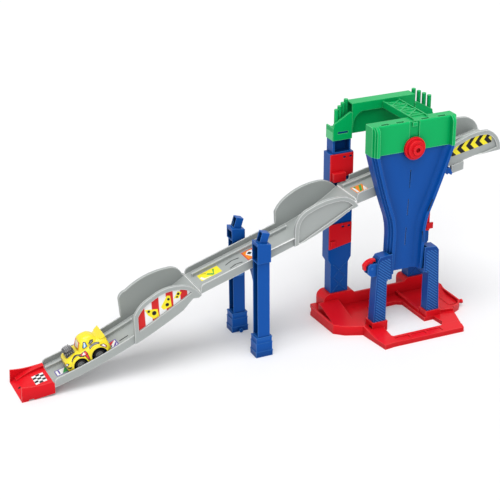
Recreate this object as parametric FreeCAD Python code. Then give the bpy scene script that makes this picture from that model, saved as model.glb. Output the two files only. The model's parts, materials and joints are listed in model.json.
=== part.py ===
import FreeCAD, Part
import math
import os

V = FreeCAD.Vector

# Toy race track in millimetres.
# X runs along the track, uphill. Y runs across it, 0 on the track's centre line, and the side
# with the tall front panel is at negative Y. Z is up from the floor.

# Track section across the lane
lane_w = 75.0            # between the side walls
wall_t = 2.5
wall_depth = 10.5        # wall top down to the running surface
deck_t = 2.5
skirt = 16.0             # height of the side walls of the lower and middle sections
start_corner = 6.0       # rounded top corner where the walls of a section begin
skirt_upper = 20.0       # height of the side walls of the upper section
rail_y = 17.0            # near face of the guide rail
rail_w = 5.0
rail_h = 6.5
joint_gap = 0.4          # between one section and the next
seat_gap = 0.3           # between a section and what carries it
tongue_w = 60.0
tongue_l = 22.0
tongue_t = 2.5

# Places along X: joints between the sections, and the upper end of the track
exit_x = -421.0
lower_x = -141.0
upper_x = 173.0
track_end = 470.0

# Line of the wall tops: start, heading in degrees, then runs of (length, turn in degrees)
lower_start = (exit_x + 3.0, 32.5)
lower_heading = 14.9
lower_runs = [(304.1, 18.8)]
middle_heading = 17.5
middle_straight = 190.8
middle_arc = 148.0
middle_turn = 19.3
upper_heading = 12.4
upper_length = (track_end - upper_x) / math.cos(math.radians(upper_heading))
end_overrun = 12.0       # how far each line runs on past its section before the end is cut
strip_z = (-50.0, 600.0) # heights between which the sections are cut to length

# Guards: tall rounded panels beside the lane, with an outer flange round a sunk panel
flange_t = 4.0
flange_w = 8.0
panel_sink = 3.0
panel_lift = 3.0         # lower edge of the lower section's sunk panel above the wall top
open_panel = 2.0         # how far the other sections' sunk panels run past the lower edge
rail_stop = 13.5         # the rail of a section ends this far past the start of its guard
rail_start = 6.0         # and the middle one starts this far past the joint

# Exit ramp
exit_len = 61.0
exit_wall_h = 29.0       # near wall at its low end
exit_far_drop = 3.5      # far wall below the near one
exit_wall_fall = 2.0     # how much lower both are at the joint
exit_corner = (5.5, 9.5) # rounded corner there, near and far
exit_joint_z = 22.0      # running surface at the joint
exit_lip_z = 1.2

# Support under the middle section
support_x = -29.0
support_heading = middle_heading
post_w = 24.0            # along the track
post_d = 21.6            # across the track
post_in = 44.4           # inner faces of both posts from the centre line
post_wall = 2.0
head_w = 26.5
head_d = 25.0
head_z = 190.0
near_head_h = 40.0
far_head_h = 25.0
head_slope = 11.0
tab_w = 15.0
tab_d = 15.0
tab_h = 20.0
foot_w = 33.4
foot_proud = 2.2         # the foot stands out from its post on both sides
foot_h = 40.0
foot_bands = ((10.0, 0.0), (1.8, -0.6), (15.2, 0.7), (1.8, 0.1), (9.0, 1.4), (2.2, 0.8))
foot_socket = 6.0

# Tower
tower_x = 271.0          # middle of the tower's front along the track
column_x = 273.0         # middle between the rear columns
column_y = 47.0          # front faces of the rear columns
column_d = 25.0
column_wall = 2.5
column_in = 68.5         # inner edge of a column's lower part from that middle
column_w = 38.0
column_wide = 6.0        # how far the wide part stands out on each side
column_left = column_x - column_in - column_w - column_wide
column_foot_z = 30.0
column_step_z = 100.0
column_step_h = 10.0
header_top_z = 414.0
cap_z = header_top_z - 60.0
cap_band_h = 20.5
column_top_z = cap_z + 17.0
column_shoulder_z = cap_z - 26.0
neck_z = column_shoulder_z + 2.0
cap_over = 1.2
pipe_count = 4
pipe_r = 4.1
left_pipes = (10.7, 8.4) # first pipe from the cap's outer side, and the pitch
right_pipes = (5.0, 9.6)
bridge_top_z = header_top_z + 3.3
beam_top_z = header_top_z + 7.5
beam_h = 18.0
beam_t = 3.0
rear_panel_z = cap_z
bridge_h = 13.0
bridge_left = -1.0       # left face of the bridge from the tower's middle
bridge_w = 36.0
bridge_rail_w = 2.5
bridge_deck_t = 2.5
brace_cells = 3
brace_h = 2.0
header_z = header_top_z - 56.0
header_front_y = -80.0
header_back_y = -46.0
header_half = 87.7
header_t = 2.5
header_face_y = header_front_y + 10.0   # front between the end frames
header_frame_w = 12.0
header_steps = ((0.0, 9.0), (3.0, 4.0), (6.0, 0.0))  # an end frame's steps: inwards, set back
header_round = 12.0      # rounded top of the end frames
header_edge = 3.0        # rounded top of the face between them
groove_w = 20.0
groove_z = header_z + 22.0   # lower end of the groove in the header's front
lug_x = (-4.2, 4.8)      # small block in the groove's upper end
lug_z = (header_top_z - 9.5, header_top_z - 2.0)
header_slots = (-58.5, -27.0, 25.0, 59.5)   # middles of the slots in the header's top
header_slot_w = 16.0
facade_bottom_z = 111.0
facade_back_y = -41.0    # at the bottom
facade_lean = 3.9        # degrees, the foot towards the track
facade_wall = 2.5
facade_border = 6.0
edge_step = 3.0
channel_d = 13.5
facade_foot = 41.0       # half width at the bottom
facade_waist = 40.5      # half width at its narrowest
facade_slits = ((0.688, 0.840), (0.456, 0.595), (0.2045, 0.355))  # shares of its height
slit_w = 1.5
leg_y = -69.0
leg_d = 22.0
leg_foot_z = 6.0
leg_top_z = facade_bottom_z + 45.0
leg_lap_drop = 6.0       # the lap's lower edge below the facade
leg_wall = 2.5
leg_out = 72.2           # outer and inner side at the foot, from the tower's middle
leg_in = 45.6
leg_lap = 35.0           # inner edge of the plate over the facade
leg_shoulder = 66.0
fit = 0.2                # between a piece and the socket that it stands in

# Track brackets on the columns
bracket_t = 2.6
bracket_h = 52.0
bracket_gap = 0.1
ledge_reach = 9.0
ledge_h = 17.0
ledge_x = (3.0, 29.0)    # from the column's outer edge
lower_bracket_z = 132.0

# Clip and hook under the upper section's near wall
clip_x = (tower_x + 56.0, tower_x + 102.0)
clip_teeth = ((29.5, -10.0), (35.0, -14.5), (36.8, -12.0), (44.0, -16.5), (46.0, -12.0),
              (41.5, -4.0))      # from the clip's left side and its top
clip_top_x = 39.0        # where its top ends, from its left side
clip_h = 13.0
hook_x = (tower_x + 100.6, tower_x + 127.0)
hook_h = 15.9

# Turning knob
knob_z = header_z + 5.0
knob_r = 21.5
knob_mid_r = 17.0
knob_ring_r = 9.3
knob_steps = (6.0, 5.5, 4.5)
knob_rounds = (1.8, 1.5, 0.0)
knob_hole_r = 4.5
spindle_r = 3.6
knob_boss_l = 16.0
screw_r = 1.5
running = 0.05           # radial clearance of turning fits
side_play = 0.3

# Lever on the left leg
lever_x = -76.6          # pivot from the tower's middle
lever_z = 132.5
lever_y = -58.0
lever_t = 8.0
cheek_t = 4.0
lever_pin_r = 2.0

# Base, its outline and window measured along X from base_x
base_x = 268.0
base_outline = [(-145.4, 45.5), (-130.0, 48.5), (-130.0, 76.0), (118.0, 76.0), (125.0, 55.0),
                (141.0, 28.0), (137.5, 10.8), (138.4, -45.4), (129.0, -58.0), (110.0, -67.7),
                (88.4, -140.4), (-60.6, -138.4),
                (-82.6, -141.0), (-92.4, -72.0), (-124.0, -58.9), (-141.4, -43.0)]
base_window = [(-36.0, 14.0), (29.0, 14.0), (39.0, 7.6), (42.0, -72.3), (62.0, -72.4),
               (65.5, -99.6), (55.0, -115.0), (-52.0, -115.0), (-48.6, -75.5), (-39.0, -66.0),
               (-39.0, 4.0)]
base_front_y = -141.0
window_front_y = -115.0
corner_y = -72.0         # where the high rim of the front left corner starts to fall
clear_z = 60.0           # above everything on the base
base_deck_z = 8.0
base_t = 2.5
base_rim = 3.0
rail_top_z = 10.0
rail_panels = 3
rail_pitch = 35.0
corner_h = 19.0
right_rim_h = 15.0
rib_h = 14.0
wedge_x = (-129.0, -86.0)    # sloping block in front of the left column
wedge_y = -18.0
wedge_h = 24.0
step_h = 15.0            # step beside the right column
dish_h = 20.0
dish_y = -5.0
left_socket_x = (15.5, 14.5) # how far a column's socket reaches past both its sides
right_socket_x = (10.0, 4.5)
socket_wall = 3.0
socket_lip = 4.0
leg_socket_z = 20.0
column_socket_z = 38.0
rear_wall_z = 31.0
rear_wall_t = 4.0
peg_y = -45.0
peg_z = 10.5
peg_r = 3.2

# Car, which faces downhill on the lower section
car_station = 68.8       # middle of the wheelbase along the lower section's line
wheelbase = 37.0
wheel_r = 10.0
hub_r = 7.0
tyre_w = 9.0
tyre_gap = 0.3           # tyre above the running surface
car_w = 51.0
car_y = -10.6            # middle of the car across the track
car_len = 84.0
axle_r = 1.5
arch_r = (12.8, 14.2)    # front and rear
flare_r = (16.2, 18.0)
flare_t = 1.5            # how far the flares stand out from the body's sides
body_t = 2.0
body_low = -8.0          # lower edge, from the axles
roof_z = 39.3
tail_z = 28.5            # sharp lip at the back
cab_foot = (-14.0, 17.0) # lower end of the windscreen in the car's side view
cab_brow = (-2.0, 37.0)
cab_low = 17.0           # half widths of the cab
cab_top = 13.5
fin_count = 5
fin_pitch = 3.8
button_along = (5.5, 19.5)
button_w = 22.0


# Helpers

def on_plane(plane, a, b, d):
    if plane == "xz":
        return V(a, d, b)
    if plane == "xy":
        return V(a, b, d)
    return V(d, a, b)


def face(outline, plane, d):
    """Face of a closed outline: points, or (through, end) pairs for arcs."""
    here = outline[0]
    edges = []
    for step in list(outline[1:]) + [outline[0]]:
        if isinstance(step[0], tuple):
            through, end = step
            edges.append(Part.Arc(on_plane(plane, *here, d), on_plane(plane, *through, d),
                                  on_plane(plane, *end, d)).toShape())
        else:
            end = step
            if math.dist(here, end) > 1e-6:
                edges.append(Part.makeLine(on_plane(plane, *here, d), on_plane(plane, *end, d)))
        here = end
    return Part.Face(Part.Wire(edges))


def push(shape, plane, length):
    """Extrude a face along the normal of its plane."""
    normal = {"xz": V(0, 1, 0), "xy": V(0, 0, 1), "yz": V(1, 0, 0)}[plane]
    return shape.extrude(normal * length)


def prism(outline, plane, low, high):
    return push(face(outline, plane, low), plane, high - low)


def box(x, y, z):
    """Box between two values along each axis."""
    return Part.makeBox(x[1] - x[0], y[1] - y[0], z[1] - z[0], V(x[0], y[0], z[0]))


def inset(shape, distance):
    """Face with its outline moved inwards, or outwards for a negative distance, corners kept."""
    return shape.makeOffset2D(-distance, 2)


def rod(start, axis, length, radius):
    return Part.makeCylinder(radius, length, V(*start), V(*axis))


def joined(*shapes):
    result = shapes[0]
    for shape in shapes[1:]:
        result = result.fuse(shape)
    return result.removeSplitter()


def moved(outline, a, b):
    """The same outline, moved in its plane."""
    result = []
    for step in outline:
        if isinstance(step[0], tuple):
            result.append(tuple((p + a, q + b) for p, q in step))
        else:
            result.append((step[0] + a, step[1] + b))
    return result


def mirrored_x(shape, x):
    """The same piece on the other side of a plane across the track."""
    return shape.mirror(V(x, 0, 0), V(1, 0, 0))


def mirrored_y(shape):
    """The same piece on the other side of the track's centre line."""
    return shape.mirror(V(0, 0, 0), V(0, 1, 0))


class Line:
    """Line of the wall tops in the XZ plane: straight runs and arcs that join smoothly."""

    def __init__(self, start, heading, runs):
        length, turn = runs[0]
        bend = math.radians(turn) / length
        angle = math.radians(heading)
        x, z = self.advance(*start, angle, -end_overrun, -end_overrun * bend)
        angle -= end_overrun * bend
        station = -end_overrun
        self.length = sum(length for length, turn in runs)
        self.legs = []
        for index, (length, turn) in enumerate(runs):
            bend = math.radians(turn) / length
            length += end_overrun * ((index == 0) + (index == len(runs) - 1))
            self.legs.append((station, x, z, angle, length, bend * length))
            x, z = self.advance(x, z, angle, length, bend * length)
            angle += bend * length
            station += length
        self.last = station

    @staticmethod
    def advance(x, z, angle, length, turn):
        if turn == 0.0:
            return x + length * math.cos(angle), z + length * math.sin(angle)
        radius = length / turn
        return (x + radius * (math.sin(angle + turn) - math.sin(angle)),
                z + radius * (math.cos(angle) - math.cos(angle + turn)))

    def leg(self, station):
        return [leg for leg in self.legs if leg[0] <= station + 1e-6][-1]

    def angle(self, station):
        start, x, z, angle, length, turn = self.leg(station)
        return angle + turn * (station - start) / length

    def at(self, station, depth=0.0):
        """Point at a station, a depth below the line."""
        start, x, z, angle, length, turn = self.leg(station)
        part = turn * (station - start) / length
        x, z = self.advance(x, z, angle, station - start, part)
        return x + depth * math.sin(angle + part), z - depth * math.cos(angle + part)

    def steps(self, depth, backward=False):
        """Steps of an outline along the line at a depth, after its first point."""
        steps = []
        for leg in (self.legs[::-1] if backward else self.legs):
            start, end = leg[0], leg[0] + leg[4]
            goal = self.at(start if backward else end, depth)
            curved = (self.at((start + end) / 2, depth), goal)
            steps.append(curved if leg[5] else goal)
        return steps

    def band(self, top, bottom):
        """Outline between two depths, along the whole line and a little past both ends."""
        return ([self.at(-end_overrun, top)] + self.steps(top)
                + [self.at(self.last, bottom)] + self.steps(bottom, backward=True))

    def station(self, x, depth=0.0):
        """Station where the line, offset by a depth, passes a place along X."""
        low, high = -end_overrun, self.last
        while high - low > 1e-7:
            middle = (low + high) / 2
            if self.at(middle, depth)[0] < x:
                low = middle
            else:
                high = middle
        return low

    def height(self, x, depth=0.0):
        return self.at(self.station(x, depth), depth)[1]


def next_start(line, x, heading):
    """Start of the next section's line, so that the two running surfaces meet at x."""
    return x, line.height(x, wall_depth) + wall_depth / math.cos(math.radians(heading))


# Track sections

def strip(line, top, bottom, x, y):
    """Strip between two depths below a line, between two planes along X."""
    return prism(line.band(top, bottom), "xz", *y).common(box(x, y, strip_z))


def outline_from(line, x, steps):
    """Outline steps measured from the wall top at x, in place."""
    return moved(steps, x, line.height(x))


def guard_outline(line, depth, x, steps):
    """Closed outline of a guard, whose lower edge lies inside the wall."""
    end_x = x + steps[-1][1][0]
    foot = (x, line.height(x) - depth / 2)
    heel = (end_x, line.height(end_x) - depth / 2 if end_x < line.at(line.length)[0] else
            line.height(x) + steps[-1][1][1])
    return [foot] + outline_from(line, x, steps) + [heel]


def side_wall(line, depth, x, guard_x, guard, lift, heel=None, notch=None, corner=0.0):
    """Side wall at positive Y with its guard and the flange round the guard's sunk panel."""
    inner = lane_w / 2
    outer = inner + wall_t
    face_y = outer + flange_t
    end_x = max(x[1], guard_x + guard[-1][1][0])
    outline = guard_outline(line, depth, guard_x, guard)
    wall = joined(strip(line, 0, depth, x, (inner, outer)), prism(outline, "xz", inner, outer))
    flange = joined(strip(line, 0, depth, (guard_x, x[1]), (outer, face_y)),
                    prism(outline, "xz", outer, face_y))
    reach = depth if lift > 0 else 2 * (flange_w - lift)
    inset = face(guard_outline(line, reach, guard_x, guard), "xz",
                 face_y - panel_sink).makeOffset2D(-flange_w)
    sunk = push(inset, "xz", panel_sink).cut(
        strip(line, -lift, depth + 99, (x[0], end_x), (outer, face_y)))
    wall = joined(wall, flange).cut(sunk)
    if guard_x + guard[-1][1][0] < x[1] + flange_w:
        crown, (through, tip) = guard_tail(line, guard_x, guard)
        high = crown[1] + 60
        far = x[1] + 60
        wall = wall.cut(prism([crown, (through, tip), (far, tip[1]), (far, high),
                               (crown[0], high)], "xz", inner, face_y))
    if x[1] < track_end:
        wall = wall.cut(box((x[1], end_x + 1), (inner, outer), strip_z))
    if heel:
        steps = outline_from(line, guard_x, heel)
        low = steps[0][1] - 60
        wall = wall.cut(prism(steps + [(steps[-1][0], low), (steps[0][0], low)],
                              "xz", inner, face_y))
    if notch:
        wall = wall.cut(strip(line, -20, notch[1], (x[0], x[0] + notch[0]), (inner, outer)))
    if corner:
        top = line.height(x[0])
        goal = (x[0] + corner, line.height(x[0] + corner))
        wall = wall.cut(prism([(x[0] - 1, goal[1] + 1), (x[0] - 1, top - corner),
                               (x[0], top - corner),
                               ((x[0] + 0.29 * corner, top - 0.29 * corner), goal),
                               (goal[0], goal[1] + 1)], "xz", inner, outer))
    return wall


def guard_tail(line, x, guard):
    """The last arc of a guard: where it starts, and its two placed points."""
    placed = outline_from(line, x, guard)
    start = placed[-2][1] if isinstance(placed[-2][0], tuple) else placed[-2]
    return start, placed[-1]


def tongue(line, following, x, reach):
    """Plate under the end of one section, fixed to the deck of the next.

    reach is how far it goes under the carried section: negative for downhill.
    """
    half = tongue_w / 2
    top = wall_depth + deck_t + seat_gap
    under = (x + reach, x) if reach < 0 else (x, x + reach)
    back = math.copysign(8.0, -reach)
    root = wall_depth + deck_t / 2
    plate = strip(line, top, top + tongue_t, under, (-half, half))
    web = prism([(x, line.height(x, top + tongue_t)), (x, following.height(x, root)),
                 (x + back, following.height(x + back, root)),
                 (x + back, following.height(x + back, wall_depth + deck_t + tongue_t))],
                "xz", -half, half)
    return plate.fuse(web)


lower = Line(lower_start, lower_heading, lower_runs)
middle = Line(next_start(lower, lower_x, middle_heading), middle_heading,
              [(middle_straight, 0.0), (middle_arc, middle_turn)])
upper = Line(next_start(middle, upper_x, upper_heading), upper_heading, [(upper_length, 0.0)])

lower_near_guard = (-270.5, [(-0.5, 36.0), ((10.0, 53.0), (32.5, 68.6)),
                             ((60.0, 80.2), (84.0, 81.0)), ((110.0, 73.6), (126.5, 56.6))])
lower_far_guard = (-267.5, [(-3.5, 33.2), ((-0.5, 43.0), (10.5, 49.5)),
                            ((46.0, 69.5), (92.0, 78.0)), ((112.0, 73.0), (121.8, 59.2))])
lower_heel = [(92.0, 28.0), (95.5, 33.0), (113.0, 50.4), (131.0, 49.0)]
middle_near_guard = (44.0, [(0.8, 17.0), ((9.0, 38.5), (30.0, 53.0)),
                            ((58.0, 62.3), (88.0, 65.3)), ((114.0, 58.5), (130.0, 41.0))])
middle_far_guard = (43.4, [(-1.0, 22.0), ((6.0, 33.5), (20.6, 47.0)),
                           ((55.0, 63.5), (93.2, 68.8)), ((116.5, 60.5), (131.6, 44.0))])
middle_heel = [(102.0, 22.0), (104.6, 26.0), (113.0, 36.5), (133.0, 40.5)]
upper_near_guard = (track_end - 118.0, [(1.0, 3.0), ((12.0, 18.0), (37.0, 32.4)),
                            ((68.0, 42.0), (98.0, 42.2)), ((117.0, 28.0), (126.6, -0.6))])
upper_far_guard = (track_end - 118.0, [(1.0, 3.0), ((12.0, 18.0), (37.0, 32.4)),
                           ((68.0, 42.6), (98.0, 42.8)), ((118.5, 32.0), (129.0, 11.4))])
low_end = (24.0, 8.5)    # length and depth of the low start of the upper section's far wall


def track_parts():
    half = joint_gap / 2
    sections = {
        "lower": (lower, skirt, (exit_x + half, lower_x - half)),
        "middle": (middle, skirt, (lower_x + half, upper_x - half)),
        "upper": (upper, skirt_upper, (upper_x + half, track_end)),
    }
    guards = {
        "lower": (lower_near_guard, lower_far_guard, lower_heel, None),
        "middle": (middle_near_guard, middle_far_guard, middle_heel, None),
        "upper": (upper_near_guard, upper_far_guard, None, low_end),
    }
    rails = {
        "lower": (exit_x + half, lower_far_guard[0] + rail_stop),
        "middle": (lower_x + rail_start, middle_far_guard[0] + rail_stop),
        "upper": (upper_x + half, track_end),
    }
    parts = {}
    for name, (line, depth, x) in sections.items():
        near, far, heel, notch = guards[name]
        corner = 0.0 if notch else start_corner
        lift = panel_lift if name == "lower" else -depth - open_panel
        half_lane = lane_w / 2
        parts[name + "_deck"] = strip(line, wall_depth, wall_depth + deck_t, x,
                                      (-half_lane, half_lane))
        parts[name + "_rail"] = strip(line, wall_depth - rail_h, wall_depth, rails[name],
                                      (rail_y, rail_y + rail_w))
        near_wall = side_wall(line, depth, x, *near, lift, heel=heel, corner=start_corner)
        parts[name + "_near_wall"] = mirrored_y(near_wall)
        parts[name + "_far_wall"] = side_wall(line, depth, x, *far, lift, notch=notch,
                                              corner=corner)
    parts["middle_deck"] = joined(parts["middle_deck"], tongue(lower, middle, lower_x, -tongue_l))
    parts["upper_deck"] = joined(parts["upper_deck"], tongue(middle, upper, upper_x, -tongue_l))
    return parts


def exit_ramp():
    """Red end piece: its running surface rolls over down to the floor."""
    x = exit_x - joint_gap / 2
    left = x - exit_len
    half = lane_w / 2
    top = exit_joint_z
    deck = prism([(x, top), ((left + 28, 14.6), (left, exit_lip_z)), (left, 0.0),
                  (left + 6, 0.0), ((left + 31, 11.4), (x, top - deck_t))], "xz", -half, half)
    bank = prism([(x, top - 1), (x, top + 5), ((left + 30, 19.0), (left + 9, 8.5)),
                  (left + 12, 4.0), ((left + 30, 12.8), (x, top - 1))], "xz",
                 half - 11.0, half)
    walls = []
    for drop, corner in zip((0.0, exit_far_drop), exit_corner):
        low_top = exit_wall_h - drop
        high_top = low_top - exit_wall_fall + 1.0
        knee = 0.29 * corner
        side = [(left, 0.0), (left + 12, 0.0), (left + 13, 3.2), (left + 22, 3.2),
                (left + 23, 0.8), (x, 4.8), (x, high_top - corner),
                ((x - knee, high_top - knee), (x - corner, high_top)),
                ((x - 34, low_top - 2.4), (left + 1.5, low_top))]
        walls.append(prism(side, "xz", half, half + wall_t))
    return joined(deck, bank, mirrored_y(walls[0]), walls[1], tongue(lower, lower, x, tongue_l))


# Support under the middle section

def post(head_h):
    """Channel post at positive Y, open downhill, with its hollow head and tilted tab."""
    x = (support_x - post_w / 2, support_x + post_w / 2)
    y = (post_in, post_in + post_d)
    z = (foot_h - foot_socket, head_z)
    channel = box(x, y, z).cut(box((x[0], x[1] - post_wall), (y[0] + post_wall, y[1] - post_wall),
                                   (foot_h + 1, z[1])))
    head_x = (support_x - head_w / 2, support_x + head_w / 2)
    head_y = (post_in, post_in + head_d)
    drop = head_w * math.tan(math.radians(head_slope))
    top = head_z + head_h
    head = prism([(head_x[0], head_z), (head_x[1], head_z), (head_x[1], top - drop),
                  (head_x[0], top)], "xz", *head_y)
    head = head.cut(box((head_x[0], head_x[1] - post_wall),
                        (head_y[0] + post_wall, head_y[1] - post_wall),
                        (head_z + post_wall, top - drop - post_wall)))
    half = tab_w / 2
    middle_y = post_in + head_d / 2
    tab = box((-half, half), (middle_y - tab_d / 2, middle_y + tab_d / 2), (-post_wall, tab_h))
    tab = tab.cut(box((-half, half - post_wall),
                      (middle_y - tab_d / 2 + post_wall, middle_y + tab_d / 2 - post_wall),
                      (0.0, tab_h - post_wall)))
    tab.rotate(V(0, 0, 0), V(0, 1, 0), support_heading)
    tab.translate(V(support_x, 0, top - drop / 2))
    below = prism([(head_x[0], head_z), (head_x[1], head_z), (head_x[1], top - drop - post_wall),
                   (head_x[0], top - post_wall)], "xz", *head_y)
    return joined(channel, head, tab.cut(below))


def post_foot():
    """Banded foot at positive Y, with a socket for its post."""
    slabs = []
    z = 0.0
    for height, step in foot_bands:
        proud = foot_proud - step / 2
        slabs.append(box((support_x - foot_w / 2 + step, support_x + foot_w / 2 - step),
                         (post_in - proud, post_in + post_d + proud), (z, z + height)))
        z += height
    socket = box((support_x - post_w / 2 - fit, support_x + post_w / 2 + fit),
                 (post_in - fit, post_in + post_d + fit), (foot_h - foot_socket - fit, foot_h))
    return joined(*slabs).cut(socket)


def cross_beam():
    """Beam under the middle section, with a curved gusset at each post."""
    y = post_in
    drop = 50.0
    depth = 11.0
    top = middle.height(support_x + 9.0, skirt + seat_gap)
    gusset = 24.0
    low = top - depth
    beam = prism([(-y, top), (-y, low - drop),
                  ((-y + 6.6, low - 22.4), (-y + gusset, low)), (y - gusset, low),
                  ((y - 6.6, low - 22.4), (y, low - drop)), (y, top)],
                 "yz", support_x - 9.0, support_x + 9.0)
    above = prism(middle.band(-5.0, skirt + seat_gap), "xz", -y, y)
    return beam.cut(above)


def support_parts():
    nub_r = 4.0
    nub = rod((support_x, post_in - foot_proud - 6.0, nub_r + 0.5), (0, 1, 0), 6.0, nub_r)
    far_foot = joined(post_foot(), nub)
    return {
        "near_post": mirrored_y(post(near_head_h)),
        "far_post": post(far_head_h),
        "near_foot": mirrored_y(post_foot()),
        "far_foot": far_foot,
        "cross_beam": cross_beam(),
    }


# Tower

def column_outline(inset=0.0, low=column_foot_z, high=column_top_z):
    """Front outline of the left column, or of its inside."""
    inner = column_x - column_in - inset
    outer = column_x - column_in - column_w + inset
    wide = column_wide
    step = column_step_z
    above = step + column_step_h
    return [(outer, low), (inner, low), (inner, step + inset), (inner + wide, above + inset),
            (inner + wide, column_shoulder_z - inset), (inner, column_shoulder_z - inset),
            (inner, high), (outer, high), (outer, column_shoulder_z - inset),
            (outer - wide, column_shoulder_z - inset), (outer - wide, above + inset),
            (outer, step + inset)]


def column():
    """Left rear column: a shell open at the back, with a hollow neck under the cap."""
    y = (column_y, column_y + column_d)
    shell = prism(column_outline(), "xz", *y)
    inside = prism(column_outline(column_wall, column_foot_z + column_wall,
                                  column_shoulder_z - column_wall),
                   "xz", column_y + column_wall, y[1])
    left = column_x - column_in - column_w
    window = box((left + 4.0, left + column_w - 3.0), (column_y, column_y + 15.0),
                 (neck_z, cap_z - 1.0))
    ribs = []
    low, high = column_socket_z + 3.0, column_step_z - 2.0
    middle_z = (low + high) / 2
    middle_x = left + column_w / 2
    for bottom, top in ((low, middle_z), (middle_z, high)):
        for lean in (-1, 1):
            reach = column_w / 2 - 6.0
            ends = (middle_x - lean * reach, middle_x + lean * reach)
            ribs.append(prism([(ends[0] - 1.2, bottom), (ends[0] + 1.2, bottom),
                               (ends[1] + 1.2, top), (ends[1] - 1.2, top)],
                              "xz", column_y - 0.8, column_y + 0.1))
    return joined(shell.cut(inside).cut(window), *ribs)


def panel(z):
    """Red panel in front of the left column, its lower edge raised towards the tower."""
    outer = column_left
    inner = column_x - column_in + column_wide
    back = column_y - bracket_gap
    front = back - bracket_t
    top = z + bracket_h
    plate = prism([(outer + 0.5, z), (inner - 2, z + 9), (inner - 1, z + 12),
                   (inner - 1, top), (outer + 0.5, top)], "xz", front, back)
    for x in (inner - 20, inner - 7):
        plate = plate.cut(box((x - 3, x + 3), (front, back), (top - 9, top - 5)))
    return plate, outer, front


def ledge_bracket(z):
    """Panel with the ledge that meets the edge of the upper section."""
    plate, outer, front = panel(z)
    ledge = box((outer + ledge_x[0], outer + ledge_x[1]), (front - ledge_reach, front),
                (z, z + ledge_h))
    return joined(plate, ledge)


def flat_bracket(z, tab):
    """The same panel with only a small block, at the lower seat that holds no track."""
    plate, outer, front = panel(z)
    block = box((outer + tab[0], outer + tab[1]), (front - 3.0, front), (z + 5, z + 18))
    return joined(plate, block)


def cap(first, pitch):
    """Left cap: a band over the neck, a sloping gusset and four pipe shapes."""
    left = column_x - column_in - column_w - cap_over
    right = column_x - column_in + cap_over
    front = column_y - 2.0
    back = column_y + column_d + cap_over
    band_top = cap_z + cap_band_h
    band = box((left, right), (front, back), (cap_z, band_top))
    socket = box((left + cap_over - fit, right - cap_over + fit),
                 (column_y - fit, column_y + column_d + fit), (cap_z, column_top_z + fit))
    slot = box((left + 10, right - 9), (front, column_y), (band_top - 8, band_top - 4))
    gusset = prism([(left, band_top), (right, band_top), (right, band_top + 30),
                    (right - 4, band_top + 32), (left + 2, band_top + 12)],
                   "xz", front, front + 4.0)
    side = box((left, left + 3.0), (front, back), (band_top, band_top + 5))
    pipes = []
    for index in range(pipe_count):
        pipes.append(rod((left + first + pitch * index, column_y + 7.0 + 3.4 * index,
                          band_top - 1), (0, 0, 1), 39.0 + 4.6 * index, pipe_r))
    return joined(band.cut(socket).cut(slot), gusset, side, *pipes)


def rear_beam():
    """Hollow beam between the two caps, with an arched front and a deep rear panel."""
    half = column_in - cap_over
    x = (column_x - half, column_x + half)
    low = beam_top_z - beam_h
    foot = low - 28.0
    y = (column_y, column_y + column_d)
    front = prism([(x[0], beam_top_z), (x[0], foot), (x[0] + 4, foot),
                   ((x[0] + 8, low - 10), (x[0] + 22, low)), (x[1] - 22, low),
                   ((x[1] - 8, low - 10), (x[1] - 4, foot)), (x[1], foot), (x[1], beam_top_z)],
                  "xz", y[0], y[0] + beam_t)
    top = box(x, y, (beam_top_z - beam_t, beam_top_z))
    back = box(x, (y[1] - beam_t, y[1]), (rear_panel_z, beam_top_z))
    return joined(front, top, back)


def bridge():
    """Deck between the rear beam and the header, with two rails and a relief of braces."""
    x = (tower_x + bridge_left, tower_x + bridge_left + bridge_w)
    low = bridge_top_z - bridge_h
    rails = []
    for rail_x, front in ((x[0], header_face_y + 3.0),
                          (x[1] - bridge_rail_w, header_face_y + 14.0)):
        rails.append(prism([(column_y, low), (column_y, bridge_top_z),
                            (front + 2, bridge_top_z),
                            ((front + 0.6, bridge_top_z - 0.6), (front, bridge_top_z - 2)),
                            (front, header_top_z), (header_back_y, header_top_z),
                            (header_back_y, low)], "yz", rail_x, rail_x + bridge_rail_w))
    inner = (x[0] + bridge_rail_w, x[1] - bridge_rail_w)
    deck_z = (header_top_z - bridge_deck_t, header_top_z)
    brace_z = (header_top_z, header_top_z + brace_h)
    deck = box(inner, (header_back_y, column_y), deck_z)
    cell = (column_y - header_back_y) / brace_cells
    braces = []
    for index in range(brace_cells):
        start = header_back_y + index * cell
        braces.append(box(inner, (start, start + 3.0), brace_z))
        for near, far in (inner, inner[::-1]):
            braces.append(prism([(near, start), (near, start + 4.0), (far, start + cell),
                                 (far, start + cell - 4.0)], "xy", *brace_z))
    return joined(deck, *rails, *braces)


def header_side(front, radius):
    """Side outline of the header, its upper front edge rounded."""
    top = header_top_z
    knee = 0.29 * radius
    return [(header_back_y, header_z), (header_back_y, top), (front + radius, top),
            ((front + knee, top - knee), (front, top - radius)), (front, header_z)]


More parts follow.
